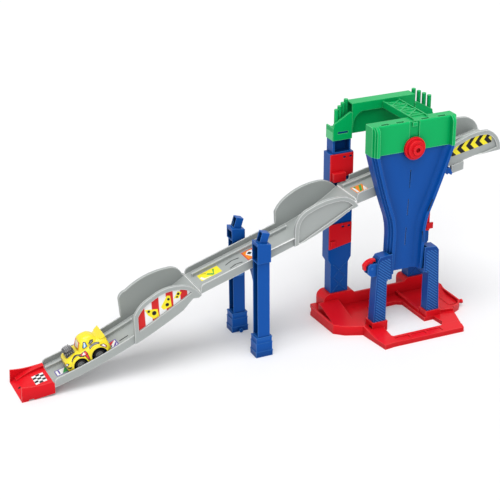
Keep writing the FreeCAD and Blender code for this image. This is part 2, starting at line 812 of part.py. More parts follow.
def header():
    """Green box over the facade, with stepped ends, a centre groove and slots in its top."""
    half = header_half
    front = header_face_y
    block = prism(header_side(front, header_edge), "yz", tower_x - half, tower_x + half)
    frames = []
    for step, set_back in header_steps:
        steps = (tower_x - half + step, tower_x - half + header_frame_w)
        frames.append(prism(header_side(header_front_y + set_back, header_round), "yz", *steps))
    frames += [mirrored_x(frame, tower_x) for frame in frames]
    block = joined(block, *frames)
    wide = half - header_frame_w - header_t
    inside = box((tower_x - wide, tower_x + wide), (front + header_t, header_back_y - header_t),
                 (header_z, header_top_z - header_t))
    rib = box((tower_x - groove_w / 2 - header_t, tower_x + groove_w / 2 + header_t),
              (front + header_t, front + 2 * header_t), (groove_z - header_t, header_top_z - 1))
    groove = box((tower_x - groove_w / 2, tower_x + groove_w / 2),
                 (front - 1, front + header_t), (groove_z, header_top_z))
    boss = rod((tower_x, front + 1, knob_z), (0, 1, 0), knob_boss_l, spindle_r + 3.0)
    boss = boss.common(box((tower_x - 20, tower_x + 20), (front, header_back_y),
                           (header_z, header_top_z)))
    bore = rod((tower_x, front - 2, knob_z), (0, 1, 0), knob_boss_l + 4, spindle_r + running)
    lug = box((tower_x + lug_x[0], tower_x + lug_x[1]), (front - 0.8, front + header_t + 0.5),
              lug_z)
    shell = joined(joined(block.cut(inside), rib, boss).cut(groove).cut(bore), lug)
    for place in header_slots:
        x = tower_x + place
        slot = box((x - header_slot_w / 2, x + header_slot_w / 2), (front + 3.0, front + 9.5),
                   (header_top_z - header_t, header_top_z))
        shell = shell.cut(slot)
    return shell


def facade_z(share):
    """Height at a share of the way up the facade."""
    return facade_bottom_z + share * (header_z - facade_bottom_z)


def facade_outline(inward):
    """Front outline of the facade, narrowed on both sides."""
    edge = [(facade_foot, facade_bottom_z - 10.0), (facade_waist, facade_z(0.2996)),
            (facade_waist + 1.5, facade_z(0.3887)), (facade_waist + 6.0, facade_z(0.4737)),
            (0.745 * header_half, facade_z(0.6964)), (header_half, header_z),
            (header_half, header_z + 10.0)]
    foot, waist, bend, hip, flank, shoulder, top = [(a - inward, z) for a, z in edge]
    right = [foot, waist, (bend, hip), (flank, shoulder), top]
    foot, waist, bend, hip, flank, shoulder, top = [(inward - a, z) for a, z in edge]
    left = [top, shoulder, (flank, hip), (bend, waist), foot]
    return moved(right + left, tower_x, 0.0)


def facade():
    """Blue tapering panel below the header: stepped edges round a channel with slits."""
    front = header_front_y
    back = header_back_y + 10.0
    layers = [prism(facade_outline(edge_step * index), "xz", front + 10.0 - 5.0 * index, back)
              for index in range(3)]
    channel_inset = 2 * edge_step + facade_border
    sections = []
    for inset, depth in ((channel_inset, -1.0), (channel_inset + 1.0, 6.0),
                         (channel_inset + 3.5, 10.5), (channel_inset + 9.0, channel_d)):
        wire = face(facade_outline(inset), "xz", front + depth).OuterWire
        sections.append(wire)
    channel = Part.makeLoft(sections, True, True)
    cavity = prism(facade_outline(facade_wall), "xz", front + channel_d + facade_wall, back + 1)
    body = joined(*layers).cut(channel).cut(cavity)
    body.rotate(V(0, front, header_z), V(1, 0, 0), facade_lean)
    low = facade_bottom_z
    body = body.common(prism([(front - 5, low), (front - 5, header_z),
                              (header_back_y, header_z), (facade_back_y, low)],
                             "yz", tower_x - header_half, tower_x + header_half))
    for low, high in facade_slits:
        body = body.cut(box((tower_x - slit_w / 2, tower_x + slit_w / 2),
                            (front, header_back_y), (facade_z(low), facade_z(high))))
    return body


def leg():
    """Left front leg: hollow, open at the back, with a plate lapping over the facade."""
    clear = facade_foot + seat_gap
    back = leg_y + leg_d
    lap_z = facade_bottom_z - leg_lap_drop
    outline = [(-leg_out, leg_foot_z), (-leg_in, leg_foot_z), (-leg_in, lap_z), (-leg_lap, lap_z),
               (-leg_lap, facade_bottom_z), (-clear, facade_bottom_z), (-clear, leg_top_z),
               (5.0 - leg_shoulder, leg_top_z - 2), (-leg_shoulder, leg_top_z - 9)]
    placed = moved(outline, tower_x, 0.0)
    solid = prism(placed, "xz", leg_y, back)
    inside = push(inset(face(placed, "xz", leg_y + leg_wall), leg_wall), "xz", leg_d).cut(
        box((tower_x - leg_in - 0.8, tower_x), (leg_y, back), (lap_z - leg_wall, leg_top_z)))
    plate = box((tower_x - clear - 1, tower_x - leg_lap), (leg_y, leg_y + 2.4),
                (facade_bottom_z - 1, leg_top_z))
    return joined(solid.cut(inside), plate)


def leg_outer(z):
    """Outer face of the left leg at a height, below its shoulder."""
    share = (z - leg_foot_z) / (leg_top_z - 9 - leg_foot_z)
    return tower_x - leg_out + share * (leg_out - leg_shoulder)


def lever_parts():
    """Release lever between two cheeks on the left leg's outer side."""
    pivot = (tower_x + lever_x, lever_z)
    cheek = [(leg_outer(116.0), 116.0), (leg_outer(142.0), 142.0), (pivot[0] - 3, 142.0),
             (pivot[0] - 8, 138.0), (pivot[0] - 8, 122.0), (pivot[0] - 1, 116.0)]
    cheeks = []
    for side in (-1, 1):
        near = lever_y + side * (lever_t / 2 + side_play)
        far = near + side * cheek_t
        cheeks.append(prism(cheek, "xz", min(near, far), max(near, far)))
    half = lever_t / 2 + side_play + cheek_t
    cheeks = [one.cut(rod((pivot[0], lever_y - half, pivot[1]), (0, 1, 0), 2 * half,
                          lever_pin_r)) for one in cheeks]
    pin = rod((pivot[0], lever_y - half, pivot[1]), (0, 1, 0), 2 * half, lever_pin_r)
    claw = [(9.0, 17.0), ((-4.6, 16.2), (-15.8, 6.8)), (-14.2, -3.2), (-10.0, -2.0),
            (-10.6, 4.6), ((-3.0, 10.6), (9.0, 12.0))]
    shape = prism(moved(claw, *pivot), "xz", lever_y - lever_t / 2, lever_y + lever_t / 2)
    hub = rod((pivot[0], lever_y - lever_t / 2, pivot[1]), (0, 1, 0), lever_t, 4.6)
    web = prism([(pivot[0] - 3, pivot[1]), (pivot[0] + 3, pivot[1]), (pivot[0] + 3, pivot[1] + 13),
                 (pivot[0] - 3, pivot[1] + 13)], "xz", lever_y - lever_t / 2, lever_y + lever_t / 2)
    lever = joined(shape, hub, web).cut(rod((pivot[0], lever_y - half, pivot[1]), (0, 1, 0),
                                            2 * half, lever_pin_r + running))
    return {"lever_cheeks": Part.makeCompound(cheeks), "lever_pin": pin, "release_lever": lever}


def knob_parts():
    """Turning knob, its spindle through the header's boss and the screw that keeps it."""
    face_y = header_face_y - side_play
    y = face_y
    discs = []
    for radius, depth, rounded in zip((knob_r, knob_mid_r, knob_ring_r), knob_steps, knob_rounds):
        disc = rod((tower_x, y, knob_z), (0, -1, 0), depth, radius)
        y -= depth
        if rounded:
            rim = [edge for edge in disc.Edges if edge.BoundBox.YMax < y + 0.5]
            disc = disc.makeFillet(rounded, rim)
        discs.append(disc)
    spindle_l = knob_boss_l + 1 + 2 * side_play
    spindle = rod((tower_x, face_y, knob_z), (0, 1, 0), spindle_l, spindle_r)
    hole = rod((tower_x, y, knob_z), (0, 1, 0), 5.0, knob_hole_r)
    screw_hole = rod((tower_x, face_y + spindle_l - 9.0, knob_z), (0, 1, 0), 9.0, screw_r)
    knob = joined(*discs, spindle).cut(hole).cut(screw_hole)
    head = rod((tower_x, face_y + spindle_l, knob_z), (0, 1, 0), 2.2, spindle_r + 1.8)
    cross = joined(box((tower_x - 3, tower_x + 3), (face_y + spindle_l + 1.0, -40.0),
                       (knob_z - 0.5, knob_z + 0.5)),
                   box((tower_x - 0.5, tower_x + 0.5), (face_y + spindle_l + 1.0, -40.0),
                       (knob_z - 3, knob_z + 3)))
    screw = joined(head, rod((tower_x, face_y + spindle_l - 9.0, knob_z), (0, 1, 0), 9.5,
                             screw_r)).cut(cross)
    return {"knob": knob, "knob_screw": screw}


def track_clip(panel_shape):
    """Toothed arm on the facade's right edge, under the upper section's near wall."""
    x = clip_x[0]
    end = x + clip_top_x
    left_top = upper.height(x, skirt_upper) - seat_gap
    top = upper.height(end, skirt_upper) - seat_gap
    y = (header_back_y, -lane_w / 2)
    teeth = prism([(x, left_top), (x, left_top - clip_h)]
                  + [(x + a, top + b) for a, b in clip_teeth] + [(end, top)], "xz", *y)
    return teeth.cut(panel_shape)


def upper_hook():
    """Grey block under the upper section's near wall, past the tower."""
    x = hook_x
    y = (-lane_w / 2 - wall_t - flange_t, -lane_w / 2 + 1.0)
    top = upper.height(x[0], skirt_upper)
    low = top - hook_h
    return prism([(x[0], top), (x[1], upper.height(x[1], skirt_upper)), (x[1], low + 4.5),
                  (x[0] + 3, low), (x[0], low + 5.0)], "xz", *y)


def tower_parts():
    left_ledge_z = upper.height(column_left + ledge_x[1], low_end[1]) + seat_gap
    right_ledge_z = (upper.height(2 * column_x - column_left - ledge_x[1], skirt_upper)
                     - seat_gap - ledge_h)
    front_panel = facade()
    parts = {
        "left_column": column(),
        "right_column": mirrored_x(column(), column_x),
        "left_cap": cap(*left_pipes),
        "right_cap": mirrored_x(cap(*right_pipes), column_x),
        "left_upper_bracket": ledge_bracket(left_ledge_z),
        "right_upper_bracket": mirrored_x(ledge_bracket(right_ledge_z), column_x),
        "left_lower_bracket": flat_bracket(lower_bracket_z, (3.0, 13.0)),
        "right_lower_bracket": mirrored_x(flat_bracket(lower_bracket_z, (-6.0, 8.0)),
                                          column_x),
        "rear_beam": rear_beam(),
        "bridge": bridge(),
        "header": header(),
        "facade": front_panel,
        "left_leg": leg(),
        "right_leg": mirrored_x(leg(), tower_x),
        "track_clip": track_clip(front_panel),
        "upper_hook": upper_hook(),
    }
    parts.update(lever_parts())
    parts.update(knob_parts())
    return parts


# Base

def column_socket(x, reach):
    """Hollow block round a column's foot, with a rounded shoulder on both sides."""
    y = (column_y - socket_lip, column_y + column_d + socket_lip)
    top = column_socket_z
    left = x[0] - reach[0]
    right = x[1] + reach[1]
    round_l = reach[0] - 1.0
    round_r = min(10.0, reach[1] - 1.0)
    block = prism([(left, 0.0), (right, 0.0), (right, top - round_r),
                   ((right - 0.29 * round_r, top - 0.29 * round_r), (right - round_r, top)),
                   (left + round_l, top),
                   ((left + 0.29 * round_l, top - 0.29 * round_l), (left, top - round_l))],
                  "xz", *y)
    pocket = box((x[0] - fit, x[1] + fit), (column_y - fit, column_y + column_d + fit),
                 (column_foot_z - fit, top))
    below = box((left + socket_wall, right - socket_wall),
                (y[0] + socket_wall, y[1] - socket_wall), (0.0, column_foot_z - socket_wall))
    return block.cut(pocket), below


def leg_socket(side):
    """Block round a leg's foot and the pocket that the leg stands in."""
    x = sorted((tower_x + side * leg_out, tower_x + side * leg_in))
    y = (leg_y, leg_y + leg_d)
    block = box((x[0] - socket_wall, x[1] + socket_wall), (y[0] - socket_wall, y[1] + socket_wall),
                (0.0, leg_socket_z))
    pocket = box((x[0] - fit, x[1] + fit), (y[0] - fit, y[1] + fit), (leg_foot_z, leg_socket_z))
    return block, pocket


def base_rims(outer):
    """Raised rims on both corners and the rail along the front."""
    rim = push(outer, "xy", corner_h).cut(push(inset(outer, base_rim), "xy", clear_z))
    far_out = 200.0
    left = rim.common(box((base_x - far_out, base_x - 88.0), (corner_y, column_y - socket_lip),
                          (0.0, corner_h)))
    ramp = prism([(base_front_y, 0.0), (corner_y, 0.0), (corner_y, corner_h),
                  (corner_y - 40.0, rail_top_z), (base_front_y, rail_top_z)], "yz",
                 base_x - far_out, base_x - 68.0)
    right = rim.common(box((column_x + column_in + column_w, base_x + far_out),
                           (corner_y, column_y - socket_lip), (0.0, right_rim_h)))
    rail = push(outer, "xy", rail_top_z).common(
        box((base_x - 88.0, base_x + 92.0), (base_front_y, window_front_y + base_t),
            (0.0, rail_top_z)))
    return left, rim.common(ramp), right, rail


def base():
    """Red base: a shell with a window, raised rims, and sockets for columns and legs."""
    window = moved(base_window, base_x, 0.0)
    outer = face(moved(base_outline, base_x, 0.0), "xy", 0.0)
    hole = prism(window, "xy", -1.0, clear_z)
    plate = push(outer, "xy", base_deck_z)
    inside = push(inset(outer, base_t), "xy", base_deck_z - base_t)
    hole_wall = push(inset(face(window, "xy", 0.0), -base_t), "xy", clear_z)

    left_x = (column_x - column_in - column_w, column_x - column_in)
    right_x = (column_x + column_in, column_x + column_in + column_w)
    front_y = column_y - socket_lip
    back_y = column_y + column_d + socket_lip
    left_socket, left_void = column_socket(left_x, left_socket_x)
    right_socket, right_void = column_socket(right_x, right_socket_x)
    within = push(outer, "xy", clear_z)
    wedge_at = (base_x + wedge_x[0], base_x + wedge_x[1])
    wedge = prism([(front_y, 0.0), (front_y, wedge_h), (front_y - 7.0, wedge_h - 1.0),
                   (wedge_y, base_deck_z), (wedge_y, 0.0)], "yz", *wedge_at).common(within)
    thick = socket_wall
    wedge_void = prism([(front_y, 0.0), (front_y, wedge_h - thick),
                        (front_y - 7.0, wedge_h - 1.0 - thick),
                        (wedge_y + 9.0, base_deck_z - 2.0), (wedge_y + 9.0, 0.0)], "yz",
                       wedge_at[0] + thick, wedge_at[1] - thick)
    wedge_void = wedge_void.common(push(inset(outer, base_rim), "xy", clear_z))
    rear_wall = box((left_x[1] + 10.0, right_x[0] - 8.0), (front_y, front_y + rear_wall_t),
                    (0.0, rear_wall_z))
    side_x = right_x[1] + right_socket_x[1]
    rear_step = box((side_x, base_x + 125.0), (front_y, back_y), (0.0, step_h)).common(within)
    rib = box((base_x + 44.0, base_x + 49.0), (leg_y + leg_d, front_y), (0.0, rib_h))
    brace = prism([(base_x + 110.0, -69.2), (base_x + 110.0, -66.4), (base_x + 77.0, -60.6),
                   (base_x + 77.0, -63.6)], "xy", 0.0, rib_h - 1.0).common(within)
    dish = prism([(front_y, 0.0), (front_y, dish_h), (dish_y, base_deck_z + 1),
                  (corner_y + 27.0, base_deck_z + 1), (corner_y + 27.0, 0.0)], "yz",
                 side_x - 2.0, base_x + 152.0).common(within)
    peg = rod((base_x + 133.0, peg_y, peg_z), (1, 0, 0), 7.5, peg_r)
    tip = rod((base_x + 140.5, peg_y, peg_z), (1, 0, 0), 3.5, peg_r + 1.2)

    sockets = [leg_socket(side) for side in (-1, 1)]
    blocks = joined(*[block for block, pocket in sockets])
    solid = joined(plate, *base_rims(outer), left_socket, right_socket, wedge, rear_wall,
                   rear_step, rib, brace, dish, blocks)
    solid = solid.cut(hole.cut(joined(blocks, rear_wall)))
    solid = solid.cut(inside.cut(hole_wall).cut(blocks))
    for shape in [left_void, right_void, wedge_void] + [pocket for block, pocket in sockets]:
        solid = solid.cut(shape)
    for index in range(rail_panels):
        left = base_x - 54.0 + index * rail_pitch
        solid = solid.cut(box((left, left + rail_pitch - 4.0), (-133.0, -121.0),
                              (rail_top_z - 1.5, rail_top_z)))
    return joined(solid, peg, tip)


# Car

def car_place():
    """Middle of the wheelbase at axle height, and the slope there."""
    x, z = lower.at(car_station, wall_depth - tyre_gap - wheel_r)
    return x, z, math.degrees(lower.angle(car_station))


def on_track(shape):
    """Place a car part, modelled level with its axles on X, on the lower section."""
    x, z, slope = car_place()
    shape.rotate(V(0, 0, 0), V(0, 1, 0), -slope)
    shape.translate(V(x, car_y, z))
    return shape


def wheel_places():
    """Both axle centres in the car's own frame: the arc of the track lifts them a little."""
    x, z, slope = car_place()
    radius = lower_runs[0][0] / math.radians(lower_runs[0][1])
    ride = radius + wall_depth - tyre_gap - wheel_r
    lift = ride - math.sqrt(ride ** 2 - (wheelbase / 2) ** 2)
    return (-wheelbase / 2, lift), (wheelbase / 2, lift)


def wheels(centre):
    """Axle, hubs and tyres of one pair of wheels."""
    x, z = centre
    outer = car_w / 2
    inner = outer - tyre_w
    axle = rod((x, -outer + 1.0, z), (0, 1, 0), 2 * outer - 2.0, axle_r)
    hubs = []
    tyres = []
    for side in (-1, 1):
        start = (x, side * inner, z)
        bore = rod(start, (0, side, 0), tyre_w + 1, axle_r)
        dish = rod((x, side * (outer - 2.0), z), (0, side, 0), 3.0, hub_r - 1.5)
        cup = rod(start, (0, side, 0), tyre_w, hub_r)
        hubs.append(cup.cut(dish).cut(bore))
        hubs[-1] = joined(hubs[-1], rod((x, side * (outer - 3.0), z), (0, side, 0), 2.6,
                                        axle_r + 1.0)).cut(bore)
        tyre = rod(start, (0, side, 0), tyre_w, wheel_r)
        tyre = tyre.makeFillet(1.5, [edge for edge in tyre.Edges
                                     if edge.BoundBox.YLength < 0.1])
        tyres.append(tyre.cut(rod(start, (0, side, 0), tyre_w, hub_r)))
    return axle, Part.makeCompound(hubs), Part.makeCompound(tyres)


def car_body():
    """Shell with a rounded cab, a lipped tail and flared wheel arches."""
    half = car_len / 2
    wide = car_w / 2 - flare_t
    side = [(-half + 1.0, body_low), (-half, 2.0), ((-half + 0.8, 9.0), (-half + 4.0, 13.5)),
            ((-half + 7.0, 16.0), (-half + 12.0, 17.5)), (-12.0, 20.5), (24.0, tail_z - 2.0),
            (half - 2.5, tail_z), (half, 14.0), (half - 2.0, body_low)]
    corner = 9.0
    knee = 0.29 * corner     # an arc's middle lies this far inside both faces
    plan = [(corner - half, -wide), (half - corner, -wide),
            ((half - knee, knee - wide), (half, corner - wide)), (half, wide - corner),
            ((half - knee, wide - knee), (half - corner, wide)), (corner - half, wide),
            ((knee - half, wide - knee), (-half, wide - corner)), (-half, corner - wide),
            ((knee - half, knee - wide), (corner - half, -wide))]
    front = [(-wide, body_low), (wide, body_low), (wide, 14.0),
             ((wide - 1.5, 21.5), (wide - 5.0, tail_z + 1)), (5.0 - wide, tail_z + 1),
             ((1.5 - wide, 21.5), (-wide, 14.0))]
    shell = prism(side, "xz", -wide, wide).common(prism(plan, "xy", -10.0, clear_z))
    shell = shell.common(prism(front, "yz", -half, half))
    cab_side = [cab_foot, cab_brow, ((7.0, roof_z), (15.0, roof_z - 0.3)),
                ((22.5, roof_z - 2.8), (27.0, 29.5)), (29.0, 22.0), (29.0, 15.0), (-14.0, 15.0)]
    cab_front = [(-cab_low - 2.0, 15.0), (cab_low + 2.0, 15.0), (cab_low - 0.5, 33.0),
                 ((cab_top, roof_z - 1.8), (cab_top - 6.0, roof_z + 0.5)),
                 (6.0 - cab_top, roof_z + 0.5), ((-cab_top, roof_z - 1.8), (0.5 - cab_low, 33.0))]
    cab = prism(cab_side, "xz", -20.0, 20.0).common(prism(cab_front, "yz", -half, half))
    flares = []
    for (x, z), radius in zip(wheel_places(), flare_r):
        for face_y in (-1, 1):
            flares.append(rod((x, face_y * 15.5, z), (0, face_y, 0), car_w / 2 - 15.5, radius))
    above = box((-half, half), (-car_w / 2, car_w / 2), (body_low, clear_z))
    body = joined(shell, cab, *[flare.common(above) for flare in flares])
    inside = [(-half + 3.0, body_low - 1), (-half + 3.0, 6.0), (-half + 7.0, 11.0), (-11.5, 15.5),
              (-1.2, 32.7), ((5.0, 36.3), (13.0, 36.3)), ((20.0, 34.5), (24.0, 28.0)),
              (25.0, 22.0), (half - 4.0, 22.0), (half - 4.0, body_low - 1)]
    hollow = prism(inside, "xz", body_t - wide, wide - body_t).common(
        joined(prism([(-wide, body_low - 1), (wide, body_low - 1), (wide, 12.0), (-wide, 12.0)],
                     "yz", -half, half),
               prism([(-15.5, 11.0), (15.5, 11.0), (14.0, 32.0), (10.5, 37.0), (-10.5, 37.0),
                      (-14.0, 32.0)], "yz", -half, half)))
    body = body.cut(hollow)
    for (x, z), radius in zip(wheel_places(), arch_r):
        for face_y in (-1, 1):
            body = body.cut(rod((x, face_y * 15.5, z), (0, face_y, 0), 20.0, radius))
    around = button_w / 2 + seat_gap
    return body.cut(screen_box((button_along[0] - seat_gap, button_along[1] + seat_gap),
                               (-8.0, 3.0), (-around, around)))


def screen_box(along, out, y):
    """Box on the sloping windscreen: along it from its foot, outwards, and across."""
    lean = math.degrees(math.atan2(cab_foot[0] - cab_brow[0], cab_brow[1] - cab_foot[1]))
    shape = box((-out[1], -out[0]), y, along)
    shape.rotate(V(0, 0, 0), V(0, 1, 0), -lean)
    shape.translate(V(cab_foot[0], 0, cab_foot[1]))
    return shape


def windscreen_button():
    """Pressed in along the normal of the windscreen; a flange behind keeps it in."""
    half = button_w / 2
    return joined(screen_box(button_along, (-4.4, 0.7), (-half, half)),
                  screen_box((button_along[0] - 1.5, button_along[1] + 1.5), (-4.4, -3.2),
                             (-half - 1.5, half + 1.5)))


def engine():
    """Engine with its intake, standing on the hood."""
    block = box((-36.0, -17.5), (-8.5, 8.5), (16.5, 25.0))
    intake = prism([(-34.5, 25.0), (-34.5, 29.0), ((-33.2, 30.9), (-30.5, 31.6)), (-20.5, 31.6),
                    (-18.0, 25.0)], "xz", -7.0, 7.0)
    fins = [box((-36.5 + fin_pitch * index, -35.0 + fin_pitch * index), (-10.0, 10.0),
                (18.5, 24.0)) for index in range(fin_count)]
    mouth = box((-35.0, -32.0), (-4.5, 4.5), (26.5, 29.5))
    return joined(block, intake, *fins).cut(mouth)


def car_parts():
    body = car_body()
    parts = {"car_body": body, "engine": engine().cut(body),
             "windscreen_button": windscreen_button()}
    places = wheel_places()
    floor = box((-car_len / 2 + 3.5, car_len / 2 - 4.5), (-15.0, 15.0), (-6.5, -1.0))
    for x, z in places:
        block = box((x - 5.0, x + 5.0), (-15.0, 15.0), (-6.5, 4.0))
        floor = joined(floor, block)
    for x, z in places:
        floor = floor.cut(rod((x, -20.0, z), (0, 1, 0), 40.0, axle_r + running))
    parts["car_chassis"] = floor
    for name, centre in zip(("front", "rear"), places):
        parts[name + "_axle"], parts[name + "_hubs"], parts[name + "_tyres"] = wheels(centre)
    return {name: on_track(shape) for name, shape in parts.items()}


def all_parts():
    parts = track_parts()
    parts["exit_ramp"] = exit_ramp()
    parts.update(support_parts())
    parts.update(tower_parts())
    parts["base"] = base()
    parts.update(car_parts())
    return parts


parts = all_parts()
bounds = FreeCAD.BoundBox()
for shape in parts.values():
    bounds.add(shape.optimalBoundingBox(False))
origin = V(bounds.Center.x, bounds.Center.y, bounds.ZMin)
os.makedirs("parts", exist_ok=True)
for name, shape in parts.items():
    shape.translate(-origin)
    shape.exportStep("parts/" + name + ".step")

print(len(parts), "nodes, size", [round(v, 1) for v in (bounds.XLength, bounds.YLength,
                                                       bounds.ZLength)])
radius = lower_runs[0][0] / math.radians(lower_runs[0][1])
slope = math.radians(lower_heading)
arc_centre = V(lower_start[0] - radius * math.sin(slope), 0.0,
               lower_start[1] + radius * math.cos(slope))
joints = {"car_run": arc_centre,
          "knob_turn": V(tower_x, header_face_y, knob_z),
          "lever_swing": V(tower_x + lever_x, lever_y, lever_z)}
x, z, slope = car_place()
for name, place in zip(("front_wheels", "rear_wheels"), wheel_places()):
    angle = math.radians(slope)
    joints[name] = V(x + place[0] * math.cos(angle) - place[1] * math.sin(angle), car_y,
                     z + place[0] * math.sin(angle) + place[1] * math.cos(angle))
for name, place in joints.items():
    place = place - origin
    print(name, [round(v / 1000, 5) for v in place])
print("origin", [round(v, 2) for v in origin], "ride", round(radius + wall_depth - tyre_gap, 2),
      "car slope", round(slope, 2))
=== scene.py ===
import functools
import json
import math

import bmesh
import bpy
from mathutils import Matrix, Vector


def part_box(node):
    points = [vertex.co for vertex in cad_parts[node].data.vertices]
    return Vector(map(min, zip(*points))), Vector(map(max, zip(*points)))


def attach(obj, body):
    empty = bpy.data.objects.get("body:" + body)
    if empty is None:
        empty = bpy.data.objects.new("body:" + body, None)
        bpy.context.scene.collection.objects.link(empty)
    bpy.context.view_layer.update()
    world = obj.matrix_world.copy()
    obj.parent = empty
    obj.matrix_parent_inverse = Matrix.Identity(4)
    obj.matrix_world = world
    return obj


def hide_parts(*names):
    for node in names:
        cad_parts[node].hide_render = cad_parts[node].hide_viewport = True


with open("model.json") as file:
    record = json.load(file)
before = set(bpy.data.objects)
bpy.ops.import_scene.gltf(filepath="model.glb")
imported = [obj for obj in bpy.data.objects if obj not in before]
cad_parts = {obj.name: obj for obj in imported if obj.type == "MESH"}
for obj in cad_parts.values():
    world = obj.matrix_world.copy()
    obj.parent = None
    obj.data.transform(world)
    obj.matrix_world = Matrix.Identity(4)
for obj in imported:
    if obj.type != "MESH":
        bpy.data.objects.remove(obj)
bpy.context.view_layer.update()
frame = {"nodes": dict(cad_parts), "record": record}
nodes = frame["nodes"]
scene = bpy.context.scene

# Toy race track in metres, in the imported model's frame: X runs along the lane and uphill,
# Y across it, and Z up.
MM = 0.001

# Camera and studio
camera_place = Vector((-0.9869, -2.0969, 1.2500))
camera_azimuth = math.radians(24.3)
camera_pitch = math.radians(24.45)
camera_roll = math.radians(-0.43)
camera_lens = 100.8
camera_sensor = 36.0

# Rounding of the mouldings' edges
edge_round = {
    "base": 0.9, "facade": 0.7, "header": 0.9, "rear_beam": 0.7, "bridge": 0.6, "exit_ramp": 0.8,
    "left_column": 0.8, "right_column": 0.8, "left_leg": 0.7, "right_leg": 0.7,
    "left_cap": 0.5, "right_cap": 0.5, "near_post": 0.8, "far_post": 0.8, "near_foot": 0.6,
    "far_foot": 0.6, "cross_beam": 0.8, "knob": 0.4, "knob_screw": 0.15, "lever_pin": 0.2,
    "front_axle": 0.1, "rear_axle": 0.1,
}
usual_round = 0.6
weld_distance = 0.00001
flat_angle = 0.5
bevel_angle = 35.0

# Angles in degrees from which an edge of the scene's own pieces is shaded sharp
piece_sharp = 38.0
shell_sharp = 42.0

# Moulded plastic: noise per metre, how open a place is (1 on a flat face), and relief in metres
tone_scale = 14.0
flow_scale = 60.0
mark_scale = 420.0
# edge_open and crease_open map openness to the painted edge highlight and the painted crease shade
edge_open = (0.90, 0.45)
crease_open = (0.25, 0.95)
crease_reach = 0.03
relief_depth = 0.0004


# Shader parts

def shader_group(name, inputs, outputs):
    """Empty shader node group with named inputs and outputs: (name, type, default)."""
    group = bpy.data.node_groups.new(name, "ShaderNodeTree")
    for label, kind, value in inputs:
        socket = group.interface.new_socket(label, in_out="INPUT", socket_type="NodeSocket" + kind)
        if value is not None:
            socket.default_value = value
    for label, kind in outputs:
        group.interface.new_socket(label, in_out="OUTPUT", socket_type="NodeSocket" + kind)
    return group, group.nodes.new("NodeGroupInput"), group.nodes.new("NodeGroupOutput")


def feed(tree, socket, value):
    """Give a socket a number, a colour or another socket's output."""
    if isinstance(value, (int, float)):
        socket.default_value = value
    elif isinstance(value, tuple):
        socket.default_value = (*value, 1.0)
    else:
        tree.links.new(value, socket)


def math_node(tree, operation, first, second=None, third=None, clamp=False):
    """Math node; each operand is a number or a socket. Gives its output socket."""
    node = tree.nodes.new("ShaderNodeMath")
    node.operation = operation
    node.use_clamp = clamp
    for socket, value in zip(node.inputs, (first, second, third)):
        if value is not None:
            feed(tree, socket, value)
    return node.outputs[0]


def colour_mix(tree, share, first, second):
    """Mix of two colours; share, first and second are values or sockets."""
    node = tree.nodes.new("ShaderNodeMix")
    node.data_type = "RGBA"
    for index, value in ((0, share), (6, first), (7, second)):
        feed(tree, node.inputs[index], value)
    return node.outputs[2]


def map_range(tree, value, low, high, to_low=0.0, to_high=1.0):
    node = tree.nodes.new("ShaderNodeMapRange")
    for label, number in (("Value", value), ("From Min", low), ("From Max", high),
                          ("To Min", to_low), ("To Max", to_high)):
        feed(tree, node.inputs[label], number)
    return node.outputs["Result"]


def noise(tree, where, scale, detail, rough=0.5):
    node = tree.nodes.new("ShaderNodeTexNoise")
    for label, value in (("Vector", where), ("Scale", scale), ("Detail", detail),
                         ("Roughness", rough)):
        feed(tree, node.inputs[label], value)
    return node.outputs["Fac"]


def scaled(tree, colour, factor):
    node = tree.nodes.new("ShaderNodeVectorMath")
    node.operation = "SCALE"
    tree.links.new(colour, node.inputs[0])
    tree.links.new(factor, node.inputs["Scale"])
    return node.outputs[0]


def openness(tree, reach, samples, inside=False):
    """1 on an open face, less in a crease, or at an edge when seen from inside."""
    node = tree.nodes.new("ShaderNodeAmbientOcclusion")
    node.inside = inside
    node.samples = samples
    feed(tree, node.inputs["Distance"], reach)
    return node.outputs["AO"]


